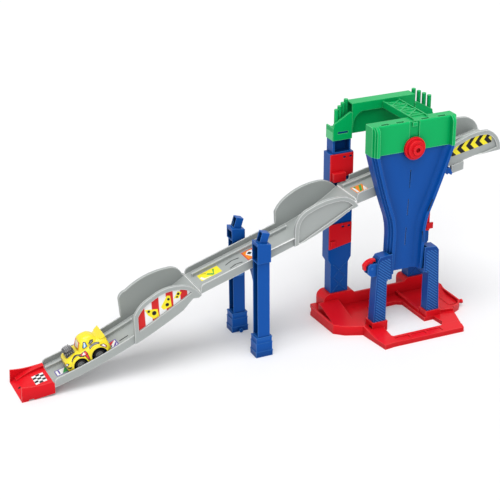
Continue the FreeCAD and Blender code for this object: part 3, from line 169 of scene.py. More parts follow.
def moulded_group():
    """Moulded plastic: slow tone change, painted edge highlight and crease shade, grain and marks.
    """
    tree, group_input, out = shader_group(
        "moulded_plastic",
        [("Colour", "Color", None), ("Edge Colour", "Color", None), ("Edge Width", "Float", None),
         ("Edge Strength", "Float", None), ("Crease Tone", "Float", None),
         ("Tone Change", "Float", 0.04), ("Grain Scale", "Float", None),
         ("Roughness", "Float", None), ("Roughness Change", "Float", 0.03)],
        [("Colour", "Color"), ("Roughness", "Float"), ("Height", "Float")])
    given = group_input.outputs
    where = tree.nodes.new("ShaderNodeTexCoord").outputs["Object"]
    slow = noise(tree, where, tone_scale, 3.0)
    flow = noise(tree, where, flow_scale, 2.0)
    grain = noise(tree, where, given["Grain Scale"], 1.0)
    marks = noise(tree, where, mark_scale, 4.0, 0.65)
    swing = math_node(tree, "MULTIPLY", given["Tone Change"], 2.0)
    tone = math_node(tree, "MULTIPLY_ADD", math_node(tree, "SUBTRACT", slow, 0.5), swing, 1.0)
    # Painted highlight: edges found by occlusion seen from inside are mixed toward the paler edge
    # colour
    edge = map_range(tree, openness(tree, given["Edge Width"], 6, inside=True), *edge_open)
    edge_highlight = math_node(tree, "MULTIPLY", edge, given["Edge Strength"], clamp=True)
    # Painted shade: creases found by occlusion within crease_reach darken the colour
    crease = map_range(tree, openness(tree, crease_reach, 4), *crease_open,
                       given["Crease Tone"], 1.0)
    crease_shaded = scaled(tree, scaled(tree, given["Colour"], tone), crease)
    colour = colour_mix(tree, edge_highlight, crease_shaded, given["Edge Colour"])
    wave = math_node(tree, "SUBTRACT", math_node(tree, "MULTIPLY_ADD", marks, 0.6, flow), 0.8)
    rough = math_node(tree, "MULTIPLY_ADD", wave, given["Roughness Change"], given["Roughness"])
    height = math_node(tree, "MULTIPLY_ADD", grain, 0.5, math_node(tree, "MULTIPLY", flow, 0.5))
    for label, socket in (("Colour", colour), ("Roughness", rough), ("Height", height)):
        tree.links.new(socket, out.inputs[label])
    return tree


moulded_plastic = moulded_group()


def new_material(name):
    material = bpy.data.materials.new(name)
    material.use_nodes = True
    tree = material.node_tree
    return material, tree, tree.nodes["Principled BSDF"]


def plastic(name, colour, edge_colour, roughness, edge_strength=0.6, edge_width=1.4,
            grain=2200.0, bump=0.02, specular=0.2, crease=0.6):
    """Finish of one moulding; its painted edge highlight's width is in millimetres."""
    material, tree, shader = new_material(name)
    surface = tree.nodes.new("ShaderNodeGroup")
    surface.node_tree = moulded_plastic
    relief = tree.nodes.new("ShaderNodeBump")
    for node, label, value in (
            (surface, "Colour", colour), (surface, "Edge Colour", edge_colour),
            (surface, "Edge Width", edge_width * MM), (surface, "Edge Strength", edge_strength),
            (surface, "Crease Tone", crease), (surface, "Grain Scale", grain),
            (surface, "Roughness", roughness), (relief, "Strength", bump),
            (relief, "Distance", relief_depth), (relief, "Height", surface.outputs["Height"]),
            (shader, "Base Color", surface.outputs["Colour"]),
            (shader, "Roughness", surface.outputs["Roughness"]),
            (shader, "Normal", relief.outputs["Normal"]),
            (shader, "Specular IOR Level", specular)):
        feed(tree, node.inputs[label], value)
    return material


# Each finish: colour, paler colour of its painted edge highlight, roughness; crease sets its
# painted crease shade
finishes = {
    "track_grey": plastic("satin_track_grey", (0.37, 0.395, 0.385), (0.90, 0.91, 0.90), 0.42,
                          edge_strength=0.85, edge_width=2.0, grain=2600.0, bump=0.03,
                          crease=0.62),
    "tower_blue": plastic("gloss_tower_blue", (0.003, 0.080, 0.37), (0.08, 0.28, 0.68), 0.30,
                          edge_strength=0.7, specular=0.12, crease=0.32),
    "header_green": plastic("gloss_header_green", (0.001, 0.43, 0.115), (0.20, 0.74, 0.36), 0.32,
                            edge_strength=0.75, specular=0.12),
    "bright_red": plastic("gloss_bright_red", (0.76, 0.008, 0.016), (0.95, 0.14, 0.13), 0.32,
                          edge_strength=0.45, specular=0.12, crease=0.5),
    "car_yellow": plastic("gloss_car_yellow", (0.88, 0.72, 0.02), (1.0, 0.92, 0.30), 0.22,
                          edge_strength=0.3, edge_width=0.6, specular=0.4),
    # The chassis takes nearly full painted crease shade, so that it reads dark inside the wheel
    # arches
    "chassis_blue": plastic("satin_chassis_blue", (0.005, 0.10, 0.40), (0.12, 0.34, 0.7), 0.38,
                            crease=0.05),
    "engine_black": plastic("satin_engine_black", (0.075, 0.077, 0.082), (0.36, 0.36, 0.37), 0.34,
                            edge_strength=0.8, edge_width=0.8, specular=0.4, crease=0.2),
    "tyre_black": plastic("matt_tyre_black", (0.010, 0.010, 0.011), (0.04, 0.04, 0.04), 0.55,
                          edge_width=0.5, bump=0.08, grain=1500.0),
    "hub_grey": plastic("satin_hub_grey", (0.24, 0.25, 0.25), (0.48, 0.48, 0.48), 0.36,
                        edge_width=0.4, crease=0.35),
    "steel": plastic("drawn_steel", (0.55, 0.55, 0.56), (0.75, 0.75, 0.75), 0.28, edge_width=0.3,
                     edge_strength=0.2),
    "windscreen_orange": plastic("gloss_windscreen_orange", (0.82, 0.17, 0.02), (0.95, 0.4, 0.1),
                                 0.25, edge_width=0.5),
}
finishes["steel"].node_tree.nodes["Principled BSDF"].inputs["Metallic"].default_value = 1.0


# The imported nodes: finish and rounded edges

def smooth_shading():
    """Geometry Nodes tree that shades every face smooth, its edges already being rounded."""
    tree = bpy.data.node_groups.new("even_shading", "GeometryNodeTree")
    for direction in ("INPUT", "OUTPUT"):
        tree.interface.new_socket("Geometry", in_out=direction, socket_type="NodeSocketGeometry")
    shaded = tree.nodes.new("NodeGroupInput").outputs[0]
    for domain in ("FACE", "EDGE"):
        node = tree.nodes.new("GeometryNodeSetShadeSmooth")
        node.domain = domain
        tree.links.new(shaded, node.inputs["Geometry"])
        shaded = node.outputs[0]
    tree.links.new(shaded, tree.nodes.new("NodeGroupOutput").inputs[0])
    return tree


even_shading = smooth_shading()


def round_edges(obj, width):
    """Rounded moulding edges: merge, clear the flat faces' inner lines, bevel, shade evenly."""
    weld = obj.modifiers.new("merge", "WELD")
    weld.merge_threshold = weld_distance
    flat = obj.modifiers.new("flat faces", "DECIMATE")
    flat.decimate_type = "DISSOLVE"
    flat.angle_limit = math.radians(flat_angle)
    bevel = obj.modifiers.new("rounded edges", "BEVEL")
    bevel.limit_method = "ANGLE"
    bevel.angle_limit = math.radians(bevel_angle)
    bevel.width = width * MM
    bevel.segments = 2
    obj.modifiers.new("shading", "NODES").node_group = even_shading
    obj.modifiers.new("normals", "WEIGHTED_NORMAL").keep_sharp = False


slots = {part["node"]: part["material_slot"] for part in frame["record"]["subparts"]}
for name, obj in nodes.items():
    for slot in obj.material_slots:
        slot.material = finishes[slots[name]]
    round_edges(obj, edge_round.get(name, usual_round))


# Building blocks for the dressed pieces

def linked(name, data):
    obj = bpy.data.objects.new(name, data)
    scene.collection.objects.link(obj)
    return obj


def mesh_from(name, bm):
    mesh = bpy.data.meshes.new(name)
    bm.to_mesh(mesh)
    bm.free()
    return mesh


def shade_smooth(mesh, sharp_from):
    mesh.polygons.foreach_set("use_smooth", [True] * len(mesh.polygons))
    mesh.set_sharp_from_angle(angle=math.radians(sharp_from))


def new_piece(name, bm, material, place):
    """Object from a bmesh in millimetres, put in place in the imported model's frame."""
    bmesh.ops.recalc_face_normals(bm, faces=bm.faces)
    mesh = mesh_from(name, bm)
    mesh.transform(Matrix.Scale(MM, 4))
    mesh.transform(place)
    mesh.materials.append(material)
    shade_smooth(mesh, piece_sharp)
    return linked(name, mesh)


def skin(bm, rows):
    """Faces between each closed row of points and the next one."""
    for near, far in zip(rows, rows[1:]):
        for index in range(len(near)):
            after = (index + 1) % len(near)
            bm.faces.new((near[index], near[after], far[after], far[index]))


def loft(bm, rings):
    """Closed skin over rings of equally many points, with flat ends."""
    rows = [[bm.verts.new(point) for point in ring] for ring in rings]
    skin(bm, rows)
    bm.faces.new(rows[0][::-1])
    bm.faces.new(rows[-1])


def soft_ring(x, half, low, high, lean, power, count=48):
    """Ring across the car: a rounded square whose upper half leans in."""
    middle = (low + high) / 2
    rise = (high - low) / 2
    ring = []
    for index in range(count):
        turn = math.tau * index / count
        across = math.copysign(abs(math.cos(turn)) ** (2 / power), math.cos(turn))
        upward = math.copysign(abs(math.sin(turn)) ** (2 / power), math.sin(turn))
        ring.append((x, across * (half - lean * max(0.0, upward)), middle + rise * upward))
    return ring


def soft_box(bm, x, y, z, radius):
    """Box between two values along each axis, its edges rounded."""
    made = bmesh.ops.create_cube(bm, size=1.0)["verts"]
    size = Matrix.Diagonal((x[1] - x[0], y[1] - y[0], z[1] - z[0], 1.0))
    middle = Matrix.Translation(((x[0] + x[1]) / 2, (y[0] + y[1]) / 2, (z[0] + z[1]) / 2))
    bmesh.ops.transform(bm, matrix=middle @ size, verts=made)
    edges = list({edge for vert in made for edge in vert.link_edges})
    bmesh.ops.bevel(bm, geom=edges, offset=radius, segments=2, profile=0.5, affect="EDGES",
                    clamp_overlap=True)


def rod(bm, centre, radius, depth, segments, tilt=0.0):
    """Cylinder across the car, or tilted from that in radians."""
    made = bmesh.ops.create_cone(bm, cap_ends=True, segments=segments, radius1=radius,
                                 radius2=radius, depth=depth)["verts"]
    bmesh.ops.transform(bm, verts=made, matrix=Matrix.Translation(centre)
                        @ Matrix.Rotation(math.pi / 2 - tilt, 4, "X"))


def lathe(bm, profile, centre, side, steps, radius_at=None):
    """Closed ring turned about a wheel's axis: profile points are (radius, y)."""
    rings = []
    for index in range(steps):
        turn = math.tau * index / steps
        ring = []
        for radius, y in profile:
            if radius_at:
                radius = radius_at(index, radius)
            ring.append(bm.verts.new((centre[0] + radius * math.cos(turn), side * y,
                                      centre[1] + radius * math.sin(turn))))
        rings.append(ring)
    skin(bm, rings + rings[:1])


def applied(obj):
    """Apply every modifier of a piece to its mesh."""
    depsgraph = bpy.context.evaluated_depsgraph_get()
    mesh = bpy.data.meshes.new_from_object(obj.evaluated_get(depsgraph))
    old = obj.data
    obj.modifiers.clear()
    obj.data = mesh
    mesh.name = old.name
    bpy.data.meshes.remove(old)


def boolean(obj, operation, cutter):
    """Cut a piece by another one, or to it; new faces take the cutter's material."""
    cut = obj.modifiers.new("cut", "BOOLEAN")
    cut.operation = operation
    cut.solver = "EXACT"
    cut.material_mode = "TRANSFER"
    cut.object = cutter
    applied(obj)
    bpy.data.objects.remove(cutter)


def copies_tree():
    """Geometry Nodes tree: copies of the given mesh in a row, or turned about an axis."""
    tree = bpy.data.node_groups.new("row_of_copies", "GeometryNodeTree")
    sockets = {}
    for label, kind in (("Geometry", "Geometry"), ("Count", "Int"), ("Step", "Vector"),
                        ("Centre", "Vector"), ("Turn", "Vector"), ("Material", "Material")):
        socket = tree.interface.new_socket(label, in_out="INPUT", socket_type="NodeSocket" + kind)
        sockets[label] = socket.identifier
    tree.interface.new_socket("Geometry", in_out="OUTPUT", socket_type="NodeSocketGeometry")
    given = tree.nodes.new("NodeGroupInput").outputs
    line, place, index, angle, turned, real, finish, out = (tree.nodes.new(kind) for kind in (
        "GeometryNodeMeshLine", "GeometryNodeInstanceOnPoints", "GeometryNodeInputIndex",
        "ShaderNodeVectorMath", "GeometryNodeRotateInstances", "GeometryNodeRealizeInstances",
        "GeometryNodeSetMaterial", "NodeGroupOutput"))
    line.mode = "OFFSET"
    angle.operation = "SCALE"
    turned.inputs["Local Space"].default_value = False
    for source, node, label in (
            (given["Count"], line, "Count"), (given["Step"], line, "Offset"),
            (line.outputs["Mesh"], place, "Points"), (given["Geometry"], place, "Instance"),
            (index.outputs[0], angle, "Scale"), (given["Turn"], angle, 0),
            (place.outputs[0], turned, "Instances"), (angle.outputs[0], turned, "Rotation"),
            (given["Centre"], turned, "Pivot Point"), (turned.outputs[0], real, 0),
            (real.outputs[0], finish, "Geometry"), (given["Material"], finish, "Material"),
            (finish.outputs[0], out, 0)):
        tree.links.new(source, node.inputs[label])
    return tree, sockets


row_of_copies, copy_sockets = copies_tree()


def repeat(obj, count, material, step=(0.0, 0.0, 0.0), centre=(0.0, 0.0, 0.0),
           turn=(0.0, 0.0, 0.0)):
    """Turn a piece into copies of itself, stepped along or turned about a centre."""
    rows = obj.modifiers.new("copies", "NODES")
    rows.node_group = row_of_copies
    for label, value in (("Count", count), ("Step", step), ("Centre", centre), ("Turn", turn),
                         ("Material", material)):
        rows[copy_sockets[label]] = value
    obj.update_tag()
    applied(obj)


def merged(name, material, objs):
    """One piece out of several of the same material."""
    bm = bmesh.new()
    for obj in objs:
        bm.from_mesh(obj.data)
        bpy.data.objects.remove(obj)
    for face in bm.faces:
        face.material_index = 0
    mesh = mesh_from(name, bm)
    mesh.materials.append(material)
    return linked(name, mesh)


# Prints: colours drawn from the place on the car or the track, in millimetres

class Painter:
    """One print: colours laid over the moulding's own, each where its mask says."""

    def __init__(self, name, inks, place, turn=0.0):
        """Place and turn about Y are those of the print's own frame in the model's."""
        inputs = [("Paint", "Color", None)]
        inputs += [(ink, "Color", (*value, 1.0)) for ink, value in inks.items()]
        self.tree, self.given, self.out = shader_group(name, inputs, [("Colour", "Color")])
        where = self.tree.nodes.new("ShaderNodeTexCoord").outputs["Object"]
        local = self.tree.nodes.new("ShaderNodeMapping")
        local.vector_type = "TEXTURE"
        local.inputs["Location"].default_value = place
        local.inputs["Rotation"].default_value = (0.0, turn, 0.0)
        local.inputs["Scale"].default_value = (MM, MM, MM)
        self.tree.links.new(where, local.inputs["Vector"])
        self.x, self.y, self.z = self.split(local.outputs[0])
        self.colour = self.given.outputs["Paint"]

    def split(self, vector):
        node = self.tree.nodes.new("ShaderNodeSeparateXYZ")
        self.tree.links.new(vector, node.inputs[0])
        return node.outputs

    def math(self, operation, *values):
        return math_node(self.tree, operation, *values)

    def joined(self, operation, values):
        return functools.reduce(functools.partial(self.math, operation), values)

    def inside(self, a, b, corners):
        """How far a place lies inside a convex outline, negative outside."""
        turn = sum(p[0] * q[1] - q[0] * p[1] for p, q in zip(corners, corners[1:] + corners[:1]))
        corners = corners if turn > 0 else corners[::-1]
        depths = []
        for (a0, b0), (a1, b1) in zip(corners, corners[1:] + corners[:1]):
            length = math.hypot(a1 - a0, b1 - b0)
            normal = ((b0 - b1) / length, (a1 - a0) / length)
            depth = self.math("MULTIPLY_ADD", b, normal[1], -(normal[0] * a0 + normal[1] * b0))
            depths.append(self.math("MULTIPLY_ADD", a, normal[0], depth))
        return self.joined("MINIMUM", depths)

    def distance(self, a, b, centre):
        along = self.math("SUBTRACT", a, centre[0])
        upward = self.math("SUBTRACT", b, centre[1])
        square = self.math("MULTIPLY", upward, upward)
        return self.math("SQRT", self.math("MULTIPLY_ADD", along, along, square))

    def disc(self, a, b, centre, radius):
        """How far a place lies inside a disc."""
        return self.math("SUBTRACT", radius, self.distance(a, b, centre))

    def ring(self, a, b, centre, near, far):
        """How far a place lies inside a ring."""
        radius = self.distance(a, b, centre)
        return self.math("MINIMUM", self.math("SUBTRACT", radius, near),
                         self.math("SUBTRACT", far, radius))

    def mask(self, depth, edge=0.0, soft=0.25):
        """1 where the depth is past an edge, 0 short of it."""
        return map_range(self.tree, depth, edge - soft, edge + soft)

    def past(self, value, start):
        return self.mask(self.math("SUBTRACT", value, start), 0.0, 0.3)

    def level(self, value, middle, half):
        away = self.math("ABSOLUTE", self.math("SUBTRACT", value, middle))
        return self.mask(self.math("SUBTRACT", half, away), 0.0, 0.15)

    def bars(self, value, start, pitch):
        place = self.math("FRACT", self.math("MULTIPLY_ADD", value, 1.0 / pitch, -start / pitch))
        middle = self.math("ABSOLUTE", self.math("SUBTRACT", place, 0.5))
        return self.mask(middle, 0.25, 0.02)

    def facing_near(self):
        """Where the surface looks across the lane, towards the near side."""
        normal = self.tree.nodes.new("ShaderNodeNewGeometry").outputs["Normal"]
        return map_range(self.tree, self.split(normal)["Y"], -0.85, -0.97)

    def near_panel(self):
        """Sunk panel of the near guards."""
        return self.math("MULTIPLY", self.level(self.y, panel_y, 0.5), self.facing_near())

    def outline(self, corners, plane="xy", soft=0.3):
        first, second = (getattr(self, axis) for axis in plane)
        return self.mask(self.inside(first, second, corners), 0.0, soft)

    def dot(self, centre, radius, plane):
        first, second = (getattr(self, axis) for axis in plane)
        return self.mask(self.disc(first, second, centre, radius))

    def draw(self, ink, *masks):
        self.colour = colour_mix(self.tree, self.joined("MULTIPLY", masks), self.colour,
                                 self.given.outputs[ink])

    def paint(self, material):
        """Put the print under the moulding's own tone and edges."""
        self.tree.links.new(self.colour, self.out.inputs["Colour"])
        tree = material.node_tree
        surface = next(node for node in tree.nodes if node.bl_idname == "ShaderNodeGroup")
        layer = tree.nodes.new("ShaderNodeGroup")
        layer.node_tree = self.tree
        layer.inputs["Paint"].default_value = surface.inputs["Colour"].default_value
        tree.links.new(layer.outputs["Colour"], surface.inputs["Colour"])

    def finish(self, node, slot):
        """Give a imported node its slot's finish with this print on it."""
        material = finishes[slot].copy()
        material.name = self.tree.name + "_on_" + slot
        self.paint(material)
        for place in nodes[node].material_slots:
            place.material = material


# Car: its own frame has X uphill, Z square to the lane, and its origin midway between the axles

joint_places = {joint["name"]: joint["pos_m"] for joint in frame["record"]["behaviour"]["joints"]
                if "pos_m" in joint}
front_place = Vector(joint_places["front_wheel_spin"])
rear_place = Vector(joint_places["rear_wheel_spin"])
car_slope = math.atan2(rear_place.z - front_place.z, rear_place.x - front_place.x)
half_base = (rear_place - front_place).length / 2 / MM
car_place = (Matrix.Translation((front_place + rear_place) / 2)
             @ Matrix.Rotation(-car_slope, 4, "Y"))
axle_places = {"front": (-half_base, 0.0), "rear": (half_base, 0.0)}

# Rings of the car: x, half width, low and high; the body's rings also give how far they lean in
body_rings = [(-42.6, 17.0, -4.5, 9.0, 2.0), (-41.6, 20.0, -7.0, 12.4, 2.6),
              (-38.5, 22.4, -8.0, 15.2, 3.4), (-33.0, 23.4, -8.0, 17.4, 4.0),
              (-23.0, 23.8, -8.0, 19.0, 4.4), (-13.0, 23.8, -8.0, 20.4, 4.6),
              (0.0, 23.8, -8.0, 22.6, 4.8), (14.0, 23.8, -8.0, 25.0, 4.8),
              (27.0, 23.8, -8.0, 26.8, 4.4), (36.0, 23.4, -8.0, 27.6, 3.6),
              (39.6, 22.4, -8.0, 27.4, 3.0), (41.6, 21.0, -7.4, 24.0, 2.6),
              (42.8, 18.6, -5.0, 17.0, 2.0)]
lip_rings = [(31.0, 19.0, 24.0, 26.8), (36.0, 20.4, 24.6, 28.2), (39.6, 21.4, 25.2, 29.6),
             (40.8, 21.4, 26.2, 29.9), (41.2, 21.2, 27.4, 29.4)]
cab_rings = [(-15.5, 16.6, 12.0, 17.6), (-13.0, 17.2, 12.0, 20.4), (-9.0, 17.5, 12.0, 27.2),
             (-5.4, 17.5, 12.0, 33.2), (-2.6, 17.5, 12.0, 37.2), (1.0, 17.5, 12.0, 39.0),
             (6.0, 17.5, 12.0, 39.7), (13.0, 17.4, 12.0, 39.4), (18.0, 17.2, 12.0, 37.8),
             (22.5, 16.8, 12.0, 34.4), (26.0, 16.4, 12.0, 30.0), (31.0, 15.6, 12.0, 26.6)]
hollow_rings = [(-39.6, 18.0, -12.0, 9.0), (-36.5, 20.8, -12.0, 11.6), (0.0, 21.4, -12.0, 13.0),
                (36.0, 21.0, -12.0, 13.0), (39.4, 18.4, -12.0, 11.0)]

# How square each set of rings is, and how far its upper half leans in
squareness = {"body": 4.6, "lip": 7.0, "cab": 3.4, "hollow": 6.0, "intake": 3.6, "mouth": 4.0}
lean_in = {"lip": 0.4, "cab": 4.4, "hollow": 0.0, "intake": 0.6, "mouth": 0.3}

# Wheel flares, with a profile of (distance out from the flare's radius, y), and wheel wells
flare_radii = {"front": 16.5, "rear": 18.8}
flare_profile = [(-1.0, 15.0), (0.0, 16.5), (0.0, 23.6), (-0.5, 24.7), (-1.6, 25.3)]
flare_steps = 72
sill = -8.0
arch_radii = {"front": 13.4, "rear": 14.9}
well_middle = 25.4
well_depth = 20.0
shell_voxel = 0.7

# Windscreen: its foot and brow along and up, and the hole for the button in its own plane
screen_foot = (-14.0, 17.0)
screen_brow = (-2.0, 37.0)
hole_outline = ((5.2, -7.0), (19.8, -7.0), (19.8, 4.0), (5.2, 4.0))
hole_half = 11.3


def ring_loft(bm, form, rings, count=48):
    loft(bm, [soft_ring(*ring, lean_in[form], squareness[form], count) for ring in rings])


def screen_point(along, out, y):
    """Point by its distance up the windscreen, out of it, and across."""
    run, rise = screen_brow[0] - screen_foot[0], screen_brow[1] - screen_foot[1]
    length = math.hypot(run, rise)
    run, rise = run / length, rise / length
    return (screen_foot[0] + along * run - out * rise, y,
            screen_foot[1] + along * rise + out * run)


def flare(bm, centre, radius, side):
    """Solid disc with a rounded rim over one wheel, cut off level with the body's lower edge."""
    disc = bmesh.new()
    turns = [math.tau * index / flare_steps for index in range(flare_steps)]
    loft(disc, [[(centre[0] + (radius + rise) * math.cos(turn), side * y,
                  centre[1] + (radius + rise) * math.sin(turn)) for turn in turns]
                for rise, y in flare_profile])
    bmesh.ops.bisect_plane(disc, geom=list(disc.verts) + list(disc.edges) + list(disc.faces),
                           plane_co=(0, 0, sill), plane_no=(0, 0, -1), clear_outer=True)
    bmesh.ops.holes_fill(disc, edges=disc.edges)
    mesh = mesh_from("flare", disc)
    bm.from_mesh(mesh)
    bpy.data.meshes.remove(mesh)


def cut_away(obj, name, bm, material):
    boolean(obj, "DIFFERENCE", new_piece(name, bm, material, car_place))


def car_shell():
    """Body of the car: lofted, blended by a remesh, then cut for wheels, windscreen and hollow."""
    bm = bmesh.new()
    loft(bm, [soft_ring(*ring, squareness["body"]) for ring in body_rings])
    ring_loft(bm, "lip", lip_rings)
    ring_loft(bm, "cab", cab_rings)
    for end, centre in axle_places.items():
        for side in (-1, 1):
            flare(bm, centre, flare_radii[end], side)
    shell = new_piece("car_shell", bm, finishes["car_yellow"], car_place)
    blend = shell.modifiers.new("blend", "REMESH")
    blend.mode = "VOXEL"
    blend.voxel_size = shell_voxel * MM
    soften = shell.modifiers.new("soften", "SMOOTH")
    soften.factor = 0.5
    soften.iterations = 3
    applied(shell)
    # The wheel wells and the hollow take the black finish: painted shade on the inside of the
    # yellow shell
    black = finishes["engine_black"]
    for side in (-1, 1):
        for end, centre in axle_places.items():
            bm = bmesh.new()
            rod(bm, (centre[0], side * well_middle, centre[1]), arch_radii[end], well_depth, 72)
            cut_away(shell, end + "_well", bm, black)
    bm = bmesh.new()
    ring_loft(bm, "hollow", hollow_rings)
    cut_away(shell, "hollow", bm, black)
    bm = bmesh.new()
    loft(bm, [[screen_point(along, out, y) for along, out in hole_outline]
              for y in (-hole_half, hole_half)])
    cut_away(shell, "screen_opening", bm, finishes["windscreen_orange"])
    shade_smooth(shell.data, shell_sharp)
    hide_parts("car_body")
    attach(shell, "car")


car_shell()


# Car livery: generic stripes and windows

# Outlines along and up on the sides, and across and up on the two ends
side_marks = {
    "window": [(-3.8, 25.0), (2.2, 34.0), (6.0, 32.0), (6.0, 23.4), (-1.0, 22.0)],
    "quarter": [(8.8, 27.0), (14.5, 31.4), (20.4, 29.6), (18.5, 26.2), (11.5, 23.4)],
    "tail_mark": [(25.6, 17.2), (33.5, 15.6), (37.0, 9.6), (34.2, 6.4)],
    "flame_top": [(-16.0, 16.4), (-0.6, 19.0), (1.4, 12.2), (-5.5, 11.0), (-10.0, 13.0)],
    "flame_drop": [(-6.0, 12.6), (0.9, 13.2), (0.4, 0.4), (-3.2, 1.4)],
    "band": [(6.6, 17.0), (9.0, 25.0), (30.5, 27.6), (26.5, 18.0)],
    "line": [(-31.0, 4.0), (-31.0, 19.0), (-10.0, 19.0), (-14.0, 14.0), (-22.0, 8.0)],
    "glint": [(-0.4, 24.0), (2.6, 32.0), (4.0, 31.4), (1.4, 23.6)],
    "spark_low": [(-9.5, 14.6), (-5.0, 17.6), (-3.2, 13.4), (-6.2, 12.8)],
    "spark_tail": [(28.4, 15.6), (33.0, 14.6), (34.6, 10.6), (33.4, 9.2)],
}
end_marks = {
    "brow": [(4.0, 10.2), (22.6, 1.8), (23.6, 4.6), (4.0, 12.2)],
    "grille": [(-1.0, -2.4), (-1.0, -0.4), (9.0, -0.4), (9.0, -2.4)],
    "rear_lamp": [(11.0, 14.0), (11.0, 18.4), (19.0, 18.4), (19.0, 14.0)],
}
arcs = {"band": ("rear", 20.1, 23.6), "line": ("front", 16.7, 18.4)}
borders = {"window": 1.25, "quarter": 1.3, "tail_mark": 1.0, "flame": 1.1, "band": 0.9,
           "lamp": 1.0, "rear_lamp": 0.9}
lamp_middle = (18.0, 9.6)
lamp_radius = 2.6
side_from = 12.5
nose_from = 30.5
tail_from = 38.5
stripe_turns = 2.9
livery_inks = {"Dark": (0.02, 0.02, 0.025), "Glass": (0.16, 0.45, 0.80),
               "Accent": (0.75, 0.03, 0.03), "Pale": (0.85, 0.85, 0.85)}

# Windscreen: ink and outline, across and up
screen_marks = {
    "Glass": [(-1.0, 23.4), (-1.0, 33.4), (6.8, 33.0), (8.8, 24.6), (7.0, 23.4)],
    "Glint": [(-8.0, 23.0), (-1.0, 34.0), (2.0, 34.0), (-4.0, 23.0)],
    "Shade": [(4.5, 23.0), (7.5, 34.0), (12.0, 34.0), (12.0, 23.0)],
}
screen_inks = {"Glass": (0.92, 0.90, 0.78), "Glint": (0.95, 0.68, 0.05),
               "Shade": (0.45, 0.05, 0.02)}


def car_livery():
    """Windows, stripes and lamps over the body colour."""
    art = Painter("car_livery", livery_inks, car_place.translation, -car_slope)
    across = art.math("ABSOLUTE", art.y)
    depths = {name: art.inside(art.x, art.z, corners) for name, corners in side_marks.items()}
    for name, corners in end_marks.items():
        depths[name] = art.inside(across, art.z, corners)
    for name, (end, near, far) in arcs.items():
        arc = art.ring(art.x, art.z, axle_places[end], near, far)
        depths[name] = art.math("MINIMUM", depths[name], arc)
    depths["flame"] = art.math("MAXIMUM", depths["flame_top"], depths["flame_drop"])
    depths["lamp"] = art.disc(across, art.z, lamp_middle, lamp_radius)

    def on(*names):
        return art.joined("MAXIMUM", [art.mask(depths[name]) for name in names])

    def within(*names):
        return art.joined("MAXIMUM", [art.mask(depths[name], borders[name]) for name in names])

    side = art.past(across, side_from)
    nose = art.past(art.math("MULTIPLY", art.x, -1.0), nose_from)
    tail = art.past(art.x, tail_from)
    stripes = art.math("SINE", art.math("MULTIPLY", art.x, stripe_turns))
    inner = within("flame", "tail_mark")
    art.draw("Dark", side, on("window", "quarter", "tail_mark", "flame", "band", "line"))
    art.draw("Glass", side, within("window"))
    art.draw("Pale", side, on("glint"), within("window"))
    art.draw("Pale", side, art.mask(stripes, 0.75, 0.2), within("band", "quarter"))
    art.draw("Accent", side, inner)
    art.draw("Pale", side, on("spark_low", "spark_tail"), inner)
    art.draw("Dark", nose, on("brow", "grille", "lamp"))
    art.draw("Pale", nose, within("lamp"))
    art.draw("Dark", tail, on("rear_lamp"))
    art.draw("Accent", tail, within("rear_lamp"))
    art.paint(finishes["car_yellow"])


def screen_print():
    """Orange frame round a pale glass with a yellow glint."""
    art = Painter("windscreen_print", screen_inks, car_place.translation, -car_slope)
    glass = art.mask(art.inside(art.math("ABSOLUTE", art.y), art.z, screen_marks["Glass"]))
    art.draw("Glass", glass)
    for ink in ("Glint", "Shade"):
        art.draw(ink, glass, art.mask(art.inside(art.y, art.z, screen_marks[ink])))
    art.paint(finishes["windscreen_orange"])


car_livery()
screen_print()


# Engine: boxes and rods by their extents on the car, fins by where their rows start

engine_boxes = (
    ((-35.6, -17.6), (-7.6, 7.6), (16.0, 24.6), 0.6),
    ((-34.6, -18.6), (-9.4, -6.0), (21.6, 25.4), 0.9),
    ((-34.6, -18.6), (6.0, 9.4), (21.6, 25.4), 0.9),
    ((-33.4, -20.0), (-5.4, 5.4), (24.0, 27.4), 0.8),
)
intake_rings = ((-36.0, 6.2, 26.2, 29.6), (-35.4, 6.9, 25.7, 30.6), (-33.0, 7.3, 25.4, 31.4),
                (-27.0, 7.3, 25.2, 31.8), (-21.5, 7.0, 25.2, 31.2), (-19.2, 6.0, 25.4, 29.6),
                (-18.2, 4.6, 25.6, 27.8))
mouth_rings = ((-37.5, 4.9, 26.8, 29.8), (-34.6, 4.9, 26.8, 29.8), (-33.4, 4.2, 26.8, 29.8))
fin_thickness = 1.4
# Low, high, half width, first place, count and pitch of each row of fins
fin_rows = ((17.4, 23.4, 10.0, -35.6, 5, 3.9), (25.2, 31.9, 7.5, -31.8, 4, 3.0))
stub_place = (-33.0, 9.6, 17.4)
stub_radius = 1.25
stub_length = 3.4
stub_tilt = 0.5
stub_pitch = 4.4


